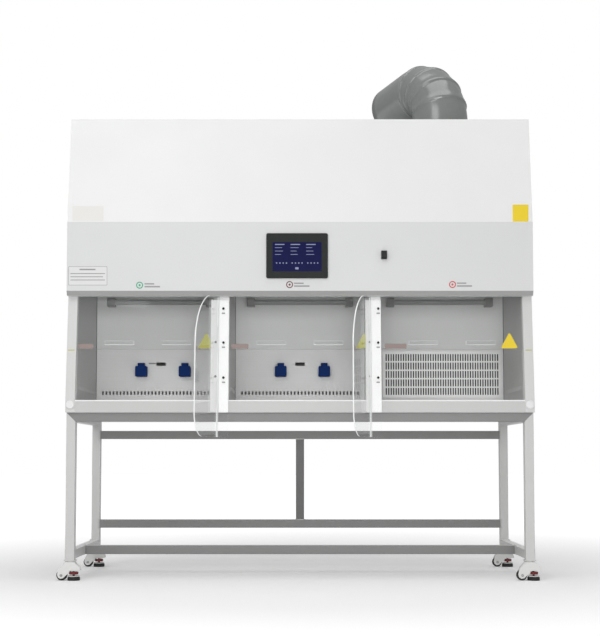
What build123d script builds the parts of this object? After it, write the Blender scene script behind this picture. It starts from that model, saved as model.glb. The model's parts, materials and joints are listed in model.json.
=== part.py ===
"""Three-chamber biosafety cabinet on a welded stand, in millimetres.

The origin is on the floor under the middle of the cabinet's footprint.
+X is to the right of a person facing the cabinet, -Y is its front and +Z is up.
Depths are measured back from the front plane of the casing.
"""

import os
from math import cos, radians, sin, tan

from build123d import *

os.makedirs("parts", exist_ok=True)

# ---------------------------------------------------------------- driving sizes

# Casing
case_width = 2060.0
case_depth = 760.0
case_bottom = 734.0
case_top = 2058.0
armrest_top = 789.0
armrest_depth = 60.0
armrest_nose = 5.0
lip_bottom = 1251.0
lip_height = 20.0
lip_setback = 10.0
fold_height = 1578.0
roof_setback = 68.0
front_tilt = 5.5
skin = 2.0
liner = 1.5
post_depth = 70.0
cheek_thick = 42.0
edge_round = 2.0

# Chambers
divider_thick = 43.0
chamber_back = 540.0
ceiling_height = 1335.0
column_top = 1236.0
column_plate = 3.0
column_step = 8.0
column_head = 1765.0
tray_top = 780.0
tray_depth = 470.0
tray_gap = 4.0
filter_height = 70.0
filter_rim = 30.0
filter_clearance = 1.0
filter_media = 15.0

# Slots of the chambers
slot_width = 8.0
slot_height = 17.0
slot_pitch = 17.0
slot_level = 848.0
slot_margin = 18.0
diffuser_pitch = 66.0
intake_length = 34.0
intake_pitch = 28.0
grille_offset = 14.5
grille_margin = 59.0
grille_height = 224.0
grille_level = 938.0
grille_rows = 5
grille_slot_width = 6.0
grille_slot_height = 34.0
grille_pitch_x = 12.0
grille_pitch_z = 41.0
grille_lap = 8.0
grille_rim = 14.0
port_width = 46.0
port_height = 17.0
port_level = 988.0

# Sashes
sash_bottom = 1016.0
glass_length = 480.0
glass_thick = 6.0
glass_recess = 14.0
glass_corner = 3.0
groove_width = 8.0
groove_depth = 10.0
groove_clearance = 3.0
sash_raise = 190.0
pull_length = 130.0
pull_height = 18.0
pull_stand = 11.0
pull_spacing = 253.0
pull_level = 18.0
pull_chamfer = 1.5

# Clear wings on the column fronts
wing_bottom = 626.0
wing_top = 1246.0
wing_reach = 300.0
wing_thick = 5.0
wing_top_radius = 260.0
wing_foot_radius = 90.0
left_wing_lean = 14.5
right_wing_lean = 17.2
flange_thick = 4.0
hinge_pin_radius = 1.5
hinge_fit = 0.05
knuckle_radius = 4.5
knuckle_count = 5
knuckle_gap = 0.5
seat_gap = 0.3

# Lamps and sockets on the chambers' rear walls
lamp_level = 1284.0
lamp_margin = 192.0
lamp_radius = 13.0
lamp_stand = 44.0
lamp_pin_length = 7.0
lamp_pin_radius = 1.2
lamp_pin_spacing = 12.7
holder_width = 36.0
holder_height = 40.0
holder_depth = 60.0
holder_corner = 5.0
socket_spacing = 210.0
socket_offset = 12.0
socket_bottom = 926.0
socket_width = 56.0
socket_height = 51.0
socket_body_depth = 30.0
socket_neck_width = 32.0
socket_neck_height = 15.0
socket_corner = 6.0
outlet_radius = 20.0
outlet_recess = 2.5
outlet_slot_depth = 12.0
outlet_slot_width = 2.4
outlet_slot_length = 7.0
outlet_slot_spacing = 13.0
outlet_earth_radius = 1.9
lid_thick = 9.0
lid_pin_radius = 2.0
lid_chamfer = 2.0
ear_thick = 4.0
lid_lap = 4.0

# Controls on the control panel
bezel_width = 272.0
bezel_height = 200.0
bezel_thick = 9.0
bezel_corner = 8.0
bezel_chamfer = 1.5
bezel_center_x = -13.0
bezel_level = 1426.0
screen_width = 216.0
screen_height = 130.0
screen_thick = 2.0
screen_recess = 2.5
screen_drop = 5.0
switch_x = 371.0
switch_level = 1429.0
switch_width = 25.0
switch_height = 36.0
switch_depth = 18.0
switch_wall = 2.5
rocker_tilt = 9.0
rocker_rise = 9.0
rocker_pin_radius = 2.0
rocker_gap = 1.0
rocker_keel = 8.0

# Round caps on the posts' feet
cap_radius = 19.0
cap_height = 8.0
cap_level = 768.0
cap_round = 5.5

# Air louvres and power inlet of the rear panel
louvre_length = 140.0
louvre_pitch = 34.0
louvre_count = 8
louvre_rise = 150.0
inlet_inset = 168.0
inlet_width = 28.0
inlet_height = 20.0

# Exhaust
duct_inset = 369.0
duct_depth = 285.0
duct_radius = 124.0
duct_wall = 4.0
duct_rib = 4.0
duct_rib_turn = 4.0
duct_rib_start = 18.0
duct_rib_pitch = 15.0
duct_rib_count = 5
duct_bend_radius = 204.0
duct_bend_angle = 95.0
duct_swing = 65.0
duct_rise = 30.0
duct_run = 229.0
collar_height = 24.0
collar_wall = 2.5
collar_flange = 26.0
collar_flange_thick = 3.0
blower_radius = 150.0
blower_height = 248.0
blower_inlet = 75.0
motor_radius = 40.0
motor_height = 70.0
shaft_radius = 8.0
shaft_height = 50.0
impeller_radius = 118.0
impeller_inner = 84.0
impeller_height = 84.0
blade_count = 24
blade_pitch_angle = 35.0
blade_thick = 2.0
shaft_fit = 0.05

# Stand
stand_margin = 3.0
stand_front = 15.0
stand_depth = 705.0
tube = 40.0
tube_wall = 2.0
tube_corner = 3.0
caster_height = 89.0
rear_beam_top = 668.0
middle_beam_top = 231.0
side_rail_bottom = 93.0
lower_beam_front = 290.0

# Levelling casters
plate_size = 52.0
plate_thick = 4.0
swivel_gap = 2.0
swivel_radius = 15.0
swivel_pin_radius = 6.0
wheel_x = -36.0
wheel_radius = 23.0
wheel_width = 20.0
hub_radius = 9.0
hub_relief = 3.0
tread_thick = 6.0
tread_chamfer = 2.0
axle_radius = 4.0
arm_thick = 5.0
arm_clearance = 0.6
wheel_clearance = 1.8
pad_x = 16.0
body_tail = 6.0
body_nose = 13.0
body_shoulder = 12.0
arm_lap = 8.0
arm_rise = 3.0
pad_radius = 27.0
pad_height = 17.0
screw_radius = 5.0
screw_top = 66.0
thumb_radius = 20.0
pad_raise = 4.0
thumb_bottom = 26.0
thumb_height = 11.0
thumb_notches = 12
thumb_notch = 2.0
pad_chamfer = 4.0
running_fit = 0.05

# ------------------------------------------------------------- worked-out sizes

tilt = radians(front_tilt)
half_case = case_width / 2
inner_half = half_case - cheek_thick
chamber_width = (2 * inner_half - 2 * divider_thick) / 3
grille_width = chamber_width - grille_margin
grille_columns = int((grille_width - grille_rim) / grille_pitch_x)
lamp_length = chamber_width - lamp_margin
duct_x = half_case - duct_inset
chamber_pitch = chamber_width + divider_thick
chamber_centers = [-chamber_pitch, 0.0, chamber_pitch]
divider_centers = [-chamber_pitch / 2, chamber_pitch / 2]
floor_top = case_bottom + skin
wall_top = ceiling_height
filter_bottom = ceiling_height + liner
filter_top = filter_bottom + filter_height


def lean(height):
    """Depth of the sloping front of the posts at a height."""
    return (height - armrest_top) * tan(tilt)


hinge_stand = column_plate + seat_gap + knuckle_radius
wing_front = hinge_stand + wing_reach * cos(radians(left_wing_lean)) * cos(tilt)
wing_front_height = wing_bottom + wing_foot_radius
foremost = wing_front - lean(wing_front_height)
front_y = -(case_depth - foremost) / 2


def at(depth):
    """Y of a depth behind the casing's front plane."""
    return front_y + depth


up_slope = Vector(0, sin(tilt), cos(tilt))
out_slope = Vector(0, -cos(tilt), sin(tilt))


def slope_plane(x, depth, height):
    """Plane parallel to the sashes, seen from the front, through a point."""
    return Plane(origin=(x, at(depth), height), x_dir=(1, 0, 0), z_dir=out_slope)


def side_profile(points, mode=Mode.ADD):
    """Closed profile from (depth, height) points, for a sketch on Plane.YZ."""
    Polygon(*[(at(depth), height) for depth, height in points], align=None, mode=mode)


def keep(piece, name):
    piece.part.label = name
    export_step(piece.part, f"parts/{name}.step")


# ------------------------------------------------------------------------ stand

stand_width = case_width - 2 * stand_margin
stand_back = stand_front + stand_depth
leg_half = stand_width / 2 - tube / 2
leg_depths = [stand_front + tube / 2, stand_back - tube / 2]
leg_height = case_bottom - caster_height
inner_tube = tube - 2 * tube_wall


def tube_section():
    """Square tube section round the sketch's origin or its locations."""
    RectangleRounded(tube, tube, tube_corner)
    Rectangle(inner_tube, inner_tube, mode=Mode.SUBTRACT)


def corner_wedge(side):
    """Half of a front corner, cut off along the 45 degree mitre."""
    outer = side * stand_width / 2
    inner = outer - side * tube
    low = case_bottom - tube
    Polygon((inner, low), (inner, case_bottom), (outer, case_bottom), align=None)


def corner_rest(side):
    """The other half of a front corner."""
    outer = side * stand_width / 2
    inner = outer - side * tube
    low = case_bottom - tube
    Polygon((inner, low), (outer, low), (outer, case_bottom), align=None)


with BuildPart() as stand_legs:
    with BuildSketch(Plane.XY.offset(caster_height)):
        with Locations([(x, at(d)) for x in (-leg_half, leg_half) for d in leg_depths]):
            tube_section()
    extrude(amount=leg_height)
    with BuildSketch(Plane.XY.offset(caster_height)):
        with Locations([(x, at(d)) for x in (-leg_half, leg_half) for d in leg_depths]):
            RectangleRounded(plate_size, tube, tube_corner)
            Circle(swivel_pin_radius + running_fit, mode=Mode.SUBTRACT)
    extrude(amount=-plate_thick)
    with BuildSketch(Plane.XZ.offset(-at(stand_front))):
        corner_wedge(-1)
        corner_wedge(1)
    extrude(amount=-tube, mode=Mode.SUBTRACT)

keep(stand_legs, "stand_legs")

rail_front = stand_front + tube
rail_length = stand_depth - 2 * tube
rail_centers = [case_bottom - tube / 2, side_rail_bottom + tube / 2]

with BuildPart() as stand_side_rails:
    with BuildSketch(Plane.XZ.offset(-at(rail_front))):
        with Locations([(x, z) for x in (-leg_half, leg_half) for z in rail_centers]):
            tube_section()
    extrude(amount=-rail_length)

keep(stand_side_rails, "stand_side_rails")

beam_half = stand_width / 2 - tube
rear_beams = [rear_beam_top - tube / 2, middle_beam_top - tube / 2]
rear_beam_spots = [(at(leg_depths[1]), z) for z in rear_beams]
lower_beam_spot = (at(lower_beam_front + tube / 2), side_rail_bottom + tube / 2)

with BuildPart() as stand_cross_beams:
    with BuildSketch(Plane.YZ.offset(-stand_width / 2)):
        with Locations((at(leg_depths[0]), case_bottom - tube / 2)):
            tube_section()
    extrude(amount=stand_width)
    with BuildSketch(Plane.XZ.offset(-at(stand_front))):
        corner_rest(-1)
        corner_rest(1)
    extrude(amount=-tube, mode=Mode.SUBTRACT)
    with BuildSketch(Plane.YZ.offset(-beam_half)):
        with Locations(rear_beam_spots + [lower_beam_spot]):
            tube_section()
    extrude(amount=2 * beam_half)

keep(stand_cross_beams, "stand_cross_beams")

with BuildPart() as stand_centre_post:
    with BuildSketch(Plane.XY.offset(middle_beam_top)):
        with Locations((0, at(leg_depths[1]))):
            tube_section()
    extrude(amount=rear_beam_top - tube - middle_beam_top)

keep(stand_centre_post, "stand_centre_post")

# ---------------------------------------------------------------------- casters

fork_inner = wheel_width / 2 + arm_clearance
fork_outer = fork_inner + arm_thick
body_top = caster_height - plate_thick - swivel_gap
body_bottom = 2 * wheel_radius + wheel_clearance
thumb_top = thumb_bottom + thumb_height
axle_height = wheel_radius


def caster_body(x, y, name):
    """Cast body with its swivel pin, its two fork arms and the wheel's axle."""
    with BuildPart() as body:
        with BuildSketch(Plane.XY.offset(body_top)):
            with Locations((x, y)):
                Circle(swivel_radius)
        extrude(amount=swivel_gap - seat_gap)
        with BuildSketch(Plane.XY.offset(body_top)):
            with Locations((x, y)):
                Circle(swivel_pin_radius)
        extrude(amount=swivel_gap + plate_thick - seat_gap)
        with BuildSketch(Plane.XZ.offset(-y - fork_outer)):
            with BuildLine():
                Polyline(
                    (x + wheel_x - body_tail, body_bottom),
                    (x + pad_x + body_nose, body_bottom - arm_lap),
                    (x + pad_x + body_nose, body_top - body_shoulder),
                    (x + swivel_radius + arm_thick, body_top),
                    (x - swivel_radius - arm_thick, body_top),
                    (x + wheel_x - body_tail, body_bottom + body_shoulder),
                    close=True,
                )
            make_face()
        extrude(amount=2 * fork_outer)
        with BuildSketch(Plane.XZ.offset(-y - fork_outer)):
            with BuildLine():
                Polyline(
                    (x + wheel_x - arm_lap, body_bottom + arm_lap),
                    (x + wheel_x - arm_lap, axle_height),
                    (x + wheel_x + arm_lap, axle_height + arm_rise),
                    (x + pad_x - arm_lap, body_bottom - arm_rise),
                    (x + pad_x - arm_lap, body_bottom + arm_lap),
                    close=True,
                )
            make_face()
            with Locations((x + wheel_x, axle_height)):
                Circle(axle_radius + arm_thick)
        extrude(amount=2 * fork_outer)
        with BuildSketch(Plane.XZ.offset(-y - fork_inner)):
            with Locations((x + wheel_x, axle_height)):
                Circle(wheel_radius + wheel_clearance)
        extrude(amount=2 * fork_inner, mode=Mode.SUBTRACT)
        with BuildSketch(Plane.XZ.offset(-y - fork_inner)):
            with Locations((x + wheel_x, axle_height)):
                Circle(axle_radius)
        extrude(amount=2 * fork_inner)
        with BuildSketch(Plane.XY.offset(body_bottom - 2 * arm_thick)):
            with Locations((x + pad_x, y)):
                Circle(screw_radius + running_fit)
        screw_room = screw_top + pad_raise + skin - body_bottom + 2 * arm_thick
        extrude(amount=screw_room, mode=Mode.SUBTRACT)
    keep(body, name)


def caster_wheel(x, y, name):
    """Wheel with a raised tread and a hub that runs on the axle."""
    with BuildPart() as wheel:
        with BuildSketch(Plane.XZ.offset(-y - wheel_width / 2)):
            with Locations((x + wheel_x, axle_height)):
                Circle(wheel_radius)
                Circle(axle_radius + running_fit, mode=Mode.SUBTRACT)
        extrude(amount=wheel_width)
        rims = wheel.edges().filter_by(GeomType.CIRCLE).sort_by(SortBy.RADIUS)[-2:]
        chamfer(rims, length=tread_chamfer)
        for side in (-1, 1):
            with BuildSketch(Plane.XZ.offset(-y + side * wheel_width / 2)):
                with Locations((x + wheel_x, axle_height)):
                    Circle(wheel_radius - tread_thick)
                    Circle(hub_radius, mode=Mode.SUBTRACT)
            extrude(amount=-side * hub_relief, mode=Mode.SUBTRACT)
    keep(wheel, name)


def caster_thumbwheel(x, y, name):
    """Notched ring that is turned by hand to lower the pad's screw."""
    with BuildPart() as ring:
        with BuildSketch(Plane.XY.offset(thumb_bottom)):
            with Locations((x + pad_x, y)):
                Circle(thumb_radius)
                Circle(screw_radius + running_fit, mode=Mode.SUBTRACT)
                with PolarLocations(thumb_radius, thumb_notches):
                    Circle(thumb_notch, mode=Mode.SUBTRACT)
        extrude(amount=thumb_height)
    keep(ring, name)


def caster_pad(x, y, name):
    """Round foot pad with its levelling screw."""
    with BuildPart() as pad:
        with BuildSketch():
            with Locations((x + pad_x, y)):
                Circle(pad_radius)
        extrude(amount=pad_height)
        chamfer(pad.edges().group_by(Axis.Z)[-1], length=pad_chamfer)
        with BuildSketch(Plane.XY.offset(pad_height)):
            with Locations((x + pad_x, y)):
                Circle(screw_radius)
        extrude(amount=screw_top - pad_height)
    keep(pad, name)


corners = {
    "front_left": (-leg_half, at(leg_depths[0])),
    "front_right": (leg_half, at(leg_depths[0])),
    "rear_left": (-leg_half, at(leg_depths[1])),
    "rear_right": (leg_half, at(leg_depths[1])),
}
for corner, (corner_x, corner_y) in corners.items():
    caster_body(corner_x, corner_y, f"caster_body_{corner}")
    caster_wheel(corner_x, corner_y, f"caster_wheel_{corner}")
    caster_thumbwheel(corner_x, corner_y, f"caster_thumbwheel_{corner}")
    caster_pad(corner_x, corner_y, f"caster_pad_{corner}")

# ----------------------------------------------------------------- casing shell

rear_skin = case_depth - skin
shell_top = case_top - skin
groove_back = glass_recess + groove_width - (groove_width - glass_thick) / 2
groove_front = groove_back - groove_width
groove_top = sash_bottom + (glass_length + sash_raise) * cos(tilt) + groove_clearance


groove_profile = [
    (lean(armrest_top) + groove_front, armrest_top),
    (lean(groove_top) + groove_front, groove_top),
    (lean(groove_top) + groove_back, groove_top),
    (lean(armrest_top) + groove_back, armrest_top),
]


with BuildPart() as base_tray:
    with BuildSketch(Plane.YZ.offset(-inner_half)):
        side_profile(
            [
                (0, case_bottom),
                (0, armrest_top - armrest_nose),
                (armrest_nose, armrest_top),
                (armrest_depth, armrest_top),
                (armrest_depth, floor_top),
                (rear_skin, floor_top),
                (rear_skin, case_bottom),
            ]
        )
        side_profile(
            [
                (skin, floor_top),
                (skin, armrest_top - armrest_nose),
                (armrest_nose + skin, armrest_top - skin),
                (armrest_depth - skin, armrest_top - skin),
                (armrest_depth - skin, floor_top),
            ],
            mode=Mode.SUBTRACT,
        )
    extrude(amount=2 * inner_half)
    with BuildSketch(Plane.XY.offset(armrest_top - 2 * skin)):
        intake_count = int((chamber_width - 2 * slot_margin) / intake_pitch)
        for center in chamber_centers:
            with Locations((center, at(armrest_depth / 2 + armrest_nose / 2))):
                with GridLocations(intake_pitch, 1, intake_count, 1):
                    Rectangle(slot_width, intake_length)
    extrude(amount=3 * skin, mode=Mode.SUBTRACT)

keep(base_tray, "base_tray")


def cheek(side, name):
    """Side of the casing: the post with its sash groove and a hollow panel behind."""
    low_x = -half_case if side < 0 else inner_half
    with BuildPart() as panel:
        with BuildSketch(Plane.YZ.offset(low_x)):
            side_profile(
                [
                    (0, case_bottom),
                    (0, armrest_top),
                    (lean(shell_top), shell_top),
                    (rear_skin, shell_top),
                    (rear_skin, case_bottom),
                ]
            )
        extrude(amount=cheek_thick)
        with BuildSketch(Plane.YZ.offset(low_x + skin)):
            side_profile(
                [
                    (post_depth, floor_top),
                    (post_depth, armrest_top),
                    (lean(shell_top) + post_depth, shell_top),
                    (rear_skin - skin, shell_top),
                    (rear_skin - skin, floor_top),
                ]
            )
        extrude(amount=cheek_thick - 2 * skin, mode=Mode.SUBTRACT)
        groove_x = inner_half if side > 0 else -inner_half - groove_depth
        with BuildSketch(Plane.YZ.offset(groove_x)):
            side_profile(groove_profile)
        extrude(amount=groove_depth, mode=Mode.SUBTRACT)
        front_edges = panel.edges().filter_by(Axis.Z).group_by(Axis.Y)[0]
        fillet(front_edges, radius=edge_round)
    keep(panel, name)


cheek(-1, "cheek_left")
cheek(1, "cheek_right")


def divider(center, name):
    """Wall between two chambers, with its white front column."""
    low_x = center - divider_thick / 2
    with BuildPart() as wall:
        with BuildSketch(Plane.YZ.offset(low_x)):
            side_profile(
                [
                    (-column_plate, case_bottom),
                    (-column_plate, armrest_top),
                    (lean(column_top) - column_plate, column_top),
                    (lean(column_top) + column_step, column_top),
                    (lean(column_head) + column_step, column_head),
                    (lean(column_head) + post_depth, column_head),
                    (lean(filter_top) + post_depth, filter_top),
                    (chamber_back, filter_top),
                    (chamber_back, floor_top),
                    (armrest_depth, floor_top),
                    (armrest_depth, armrest_top),
                    (0, armrest_top),
                    (0, case_bottom),
                ]
            )
        extrude(amount=divider_thick)
        with BuildSketch(Plane.YZ.offset(low_x + skin)):
            side_profile(
                [
                    (post_depth + skin, floor_top + skin),
                    (post_depth + skin, armrest_top),
                    (lean(filter_top) + post_depth, filter_top - skin),
                    (chamber_back, filter_top - skin),
                    (chamber_back, floor_top + skin),
                ]
            )
        extrude(amount=divider_thick - 2 * skin, mode=Mode.SUBTRACT)
        for groove_x in (low_x, low_x + divider_thick - groove_depth):
            with BuildSketch(Plane.YZ.offset(groove_x)):
                side_profile(groove_profile)
            extrude(amount=groove_depth, mode=Mode.SUBTRACT)
    keep(wall, name)


divider(divider_centers[0], "divider_left")
divider(divider_centers[1], "divider_right")

with BuildPart() as rear_panel:
    inlet_spot = (half_case - inlet_inset, fold_height)
    with BuildSketch(Plane.XZ.offset(-at(rear_skin))):
        with Locations((0, (case_bottom + shell_top) / 2)):
            Rectangle(case_width, shell_top - case_bottom)
        with Locations((inlet_inset - half_case, fold_height + louvre_rise)):
            with GridLocations(louvre_pitch, 1, louvre_count, 1):
                SlotOverall(louvre_length, slot_width, rotation=90, mode=Mode.SUBTRACT)
        with Locations(inlet_spot):
            RectangleRounded(inlet_width, inlet_height, edge_round, mode=Mode.SUBTRACT)
    extrude(amount=-skin)

keep(rear_panel, "rear_panel")

with BuildPart() as roof_panel:
    with BuildSketch(Plane.XY.offset(shell_top)):
        with Locations((0, at((roof_setback + case_depth) / 2))):
            Rectangle(case_width, case_depth - roof_setback)
        with Locations((duct_x, at(duct_depth))):
            Circle(duct_radius - duct_wall - collar_wall, mode=Mode.SUBTRACT)
    extrude(amount=skin)

keep(roof_panel, "roof_panel")


def front_tray(outer, inner):
    """Folded front panel: a full-width skin with side returns, open at the back."""
    with BuildPart() as panel:
        with BuildSketch(Plane.YZ.offset(-half_case)):
            side_profile(outer)
        extrude(amount=case_width)
        with BuildSketch(Plane.YZ.offset(-half_case + skin)):
            side_profile(inner)
        extrude(amount=case_width - 2 * skin, mode=Mode.SUBTRACT)
    return panel


upper_front_panel = front_tray(
    [
        (0, fold_height),
        (roof_setback, shell_top),
        (lean(shell_top), shell_top),
        (lean(fold_height), fold_height),
    ],
    [
        (skin, fold_height + skin),
        (roof_setback + skin, shell_top - skin),
        (lean(shell_top) + skin, shell_top - skin),
        (lean(fold_height) + skin, fold_height + skin),
    ],
)
keep(upper_front_panel, "upper_front_panel")

control_panel = front_tray(
    [
        (0, fold_height),
        (0, lip_bottom + lip_height),
        (lip_setback, lip_bottom),
        (lean(lip_bottom), lip_bottom),
        (lean(fold_height), fold_height),
    ],
    [
        (skin, fold_height - skin),
        (skin, lip_bottom + lip_height),
        (lip_setback + skin, lip_bottom + skin),
        (lean(lip_bottom) + skin, lip_bottom + skin),
        (lean(fold_height) + skin, fold_height - skin),
    ],
)
keep(control_panel, "control_panel")

with BuildPart() as foot_caps:
    cap_x = half_case - cheek_thick / 2
    with BuildSketch(Plane.XZ.offset(-front_y)):
        with Locations((-cap_x, cap_level), (cap_x, cap_level)):
            Circle(cap_radius)
    extrude(amount=cap_height)
    cap_rims = foot_caps.faces().filter_by(Axis.Y).sort_by(Axis.Y)[:2].edges()
    fillet(cap_rims, radius=cap_round)

keep(foot_caps, "foot_caps")

# --------------------------------------------------------------- chamber lining

liner_inset = groove_back + tray_gap
slot_count = int((chamber_width - 2 * slot_margin) / slot_pitch)
side_slot_count = int((chamber_back - armrest_depth - 2 * slot_margin) / slot_pitch)

with BuildPart() as rear_walls:
    with BuildSketch(Plane.XZ.offset(-at(chamber_back))):
        for center in chamber_centers:
            with Locations((center, (floor_top + wall_top) / 2)):
                Rectangle(chamber_width, wall_top - floor_top)
        for center in chamber_centers[:2]:
            with Locations((center, slot_level)):
                with GridLocations(slot_pitch, 1, slot_count, 1):
                    Rectangle(slot_width, slot_height, mode=Mode.SUBTRACT)
            with Locations((center, port_level)):
                Rectangle(port_width, port_height, mode=Mode.SUBTRACT)
        with Locations((chamber_centers[2] + grille_offset, grille_level)):
            Rectangle(
                grille_width - 2 * grille_lap,
                grille_height - 2 * grille_lap,
                mode=Mode.SUBTRACT,
            )
    extrude(amount=-liner)

keep(rear_walls, "rear_walls")

with BuildPart() as return_grille:
    with BuildSketch(Plane.XZ.offset(-at(chamber_back))):
        with Locations((chamber_centers[2] + grille_offset, grille_level)):
            Rectangle(grille_width, grille_height)
            with GridLocations(grille_pitch_x, grille_pitch_z, grille_columns, grille_rows):
                Rectangle(grille_slot_width, grille_slot_height, mode=Mode.SUBTRACT)
    extrude(amount=liner)

keep(return_grille, "return_grille")

with BuildPart() as chamber_liners:
    for center in chamber_centers:
        for wall_x in (center - chamber_width / 2, center + chamber_width / 2 - liner):
            with BuildSketch(Plane.YZ.offset(wall_x)):
                side_profile(
                    [
                        (armrest_depth, floor_top),
                        (armrest_depth, armrest_top),
                        (lean(armrest_top) + liner_inset, armrest_top),
                        (lean(wall_top) + liner_inset, wall_top),
                        (chamber_back, wall_top),
                        (chamber_back, floor_top),
                    ]
                )
                with Locations((at((chamber_back + armrest_depth) / 2), slot_level)):
                    with GridLocations(slot_pitch, 1, side_slot_count, 1):
                        Rectangle(slot_width, slot_height, mode=Mode.SUBTRACT)
            extrude(amount=liner)

keep(chamber_liners, "chamber_liners")

with BuildPart() as work_trays:
    tray_width = chamber_width - 2 * liner - tray_gap
    tray_middle = armrest_depth + tray_gap + tray_depth / 2
    with BuildSketch(Plane.XY.offset(floor_top)):
        with Locations([(center, at(tray_middle)) for center in chamber_centers]):
            RectangleRounded(tray_width, tray_depth, edge_round)
    extrude(amount=tray_top - floor_top)
    with BuildSketch(Plane.XY.offset(floor_top)):
        with Locations([(center, at(tray_middle)) for center in chamber_centers]):
            Rectangle(tray_width - 2 * skin, tray_depth - 2 * skin)
    extrude(amount=tray_top - floor_top - skin, mode=Mode.SUBTRACT)

keep(work_trays, "work_trays")

ceiling_front = lean(ceiling_height) + liner_inset
ceiling_depth = chamber_back - ceiling_front
diffuser_columns = int((chamber_width - 2 * slot_margin) / diffuser_pitch)
diffuser_rows = int((ceiling_depth - 2 * slot_margin) / diffuser_pitch)
ceiling_spots = [(center, at(ceiling_front + ceiling_depth / 2)) for center in chamber_centers]

with BuildPart() as ceiling_diffusers:
    with BuildSketch(Plane.XY.offset(ceiling_height)):
        with Locations(ceiling_spots):
            Rectangle(chamber_width, ceiling_depth)
            with GridLocations(diffuser_pitch, diffuser_pitch, diffuser_columns, diffuser_rows):
                Rectangle(slot_height, slot_width, mode=Mode.SUBTRACT)
    extrude(amount=liner)

keep(ceiling_diffusers, "ceiling_diffusers")

with BuildPart() as supply_filters:
    filter_depth = chamber_back - lean(filter_top) - post_depth - skin
    filter_spot_y = at(chamber_back - filter_depth / 2)
    filter_spots = [(center, filter_spot_y) for center in chamber_centers]
    with BuildSketch(Plane.XY.offset(filter_bottom)):
        with Locations(filter_spots):
            Rectangle(chamber_width - tray_gap, filter_depth)
            Rectangle(
                chamber_width - tray_gap - 2 * filter_rim,
                filter_depth - 2 * filter_rim,
                mode=Mode.SUBTRACT,
            )
    extrude(amount=filter_height)
    with BuildSketch(Plane.XY.offset(filter_bottom + (filter_height - filter_media) / 2)):
        with Locations(filter_spots):
            Rectangle(
                chamber_width - tray_gap - 2 * filter_clearance,
                filter_depth - 2 * filter_clearance,
            )
    extrude(amount=filter_media)

keep(supply_filters, "supply_filters")

# ------------------------------------------------------------------------ lamps

lamp_depth = chamber_back - lamp_stand
holder_ends = lamp_length / 2 + holder_width / 2

with BuildPart() as lamp_tubes:
    for center in chamber_centers:
        with BuildSketch(Plane.YZ.offset(center - lamp_length / 2)):
            with Locations((at(lamp_depth), lamp_level)):
                Circle(lamp_radius)
        extrude(amount=lamp_length)
        with BuildSketch(Plane.YZ.offset(center - lamp_length / 2 - lamp_pin_length)):
            with Locations((at(lamp_depth), lamp_level)):
                with GridLocations(1, lamp_pin_spacing, 1, 2):
                    Circle(lamp_pin_radius)
        extrude(amount=lamp_length + 2 * lamp_pin_length)

keep(lamp_tubes, "lamp_tubes")

with BuildPart() as lamp_holders:
    for center in chamber_centers:
        for end in (-holder_ends, holder_ends):
            with BuildSketch(Plane.YZ.offset(center + end - holder_width / 2)):
                with Locations((at(chamber_back - holder_depth / 2), lamp_level)):
                    RectangleRounded(holder_depth, holder_height, holder_corner)
            extrude(amount=holder_width)
            with BuildSketch(Plane.YZ.offset(center + end - holder_width / 2)):
                with Locations((at(lamp_depth), lamp_level)):
                    with GridLocations(1, lamp_pin_spacing, 1, 2):
                        Circle(lamp_pin_radius + seat_gap)
            extrude(amount=holder_width, mode=Mode.SUBTRACT)

keep(lamp_holders, "lamp_holders")

# ---------------------------------------------------------------------- sockets

socket_xs = [
    center + socket_offset + side * socket_spacing / 2
    for center in chamber_centers[:2]
    for side in (-1, 1)
]
socket_top = socket_bottom + socket_height
socket_front = chamber_back - socket_body_depth
lid_hinge_height = socket_top + socket_neck_height / 2
lid_hinge_depth = socket_front - lid_thick / 2
lid_bore = lid_pin_radius + running_fit

with BuildPart() as socket_bodies:
    for x in socket_xs:
        with BuildSketch(Plane.XZ.offset(-at(chamber_back))):
            with Locations((x, socket_bottom + socket_height / 2)):
                RectangleRounded(socket_width, socket_height, socket_corner)
            with Locations((x, socket_top)):
                Rectangle(socket_neck_width, 2 * socket_neck_height)
        extrude(amount=socket_body_depth)
        with BuildSketch(Plane.XZ.offset(-at(socket_front))):
            with Locations((x, socket_bottom + socket_height / 2)):
                Circle(outlet_radius)
        extrude(amount=-outlet_recess, mode=Mode.SUBTRACT)
        with BuildSketch(Plane.XZ.offset(-at(socket_front))):
            with Locations((x, socket_bottom + socket_height / 2)):
                with GridLocations(outlet_slot_spacing, 1, 2, 1):
                    Rectangle(outlet_slot_width, outlet_slot_length)
                with Locations((0, -outlet_slot_length)):
                    Circle(outlet_earth_radius)
        extrude(amount=-outlet_slot_depth, mode=Mode.SUBTRACT)
        for side in (-1, 1):
            ear_x = x + side * (socket_neck_width - ear_thick) / 2
            with BuildSketch(Plane.YZ.offset(ear_x - ear_thick / 2)):
                with Locations((at(lid_hinge_depth), lid_hinge_height)):
                    Circle(lid_thick / 2)
                with Locations((at(lid_hinge_depth + lid_thick / 2), lid_hinge_height)):
                    Rectangle(lid_thick, lid_thick)
            extrude(amount=ear_thick)
        with BuildSketch(Plane.YZ.offset(x - socket_neck_width / 2)):
            with Locations((at(lid_hinge_depth), lid_hinge_height)):
                Circle(lid_pin_radius)
        extrude(amount=socket_neck_width)

keep(socket_bodies, "socket_bodies")

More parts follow.
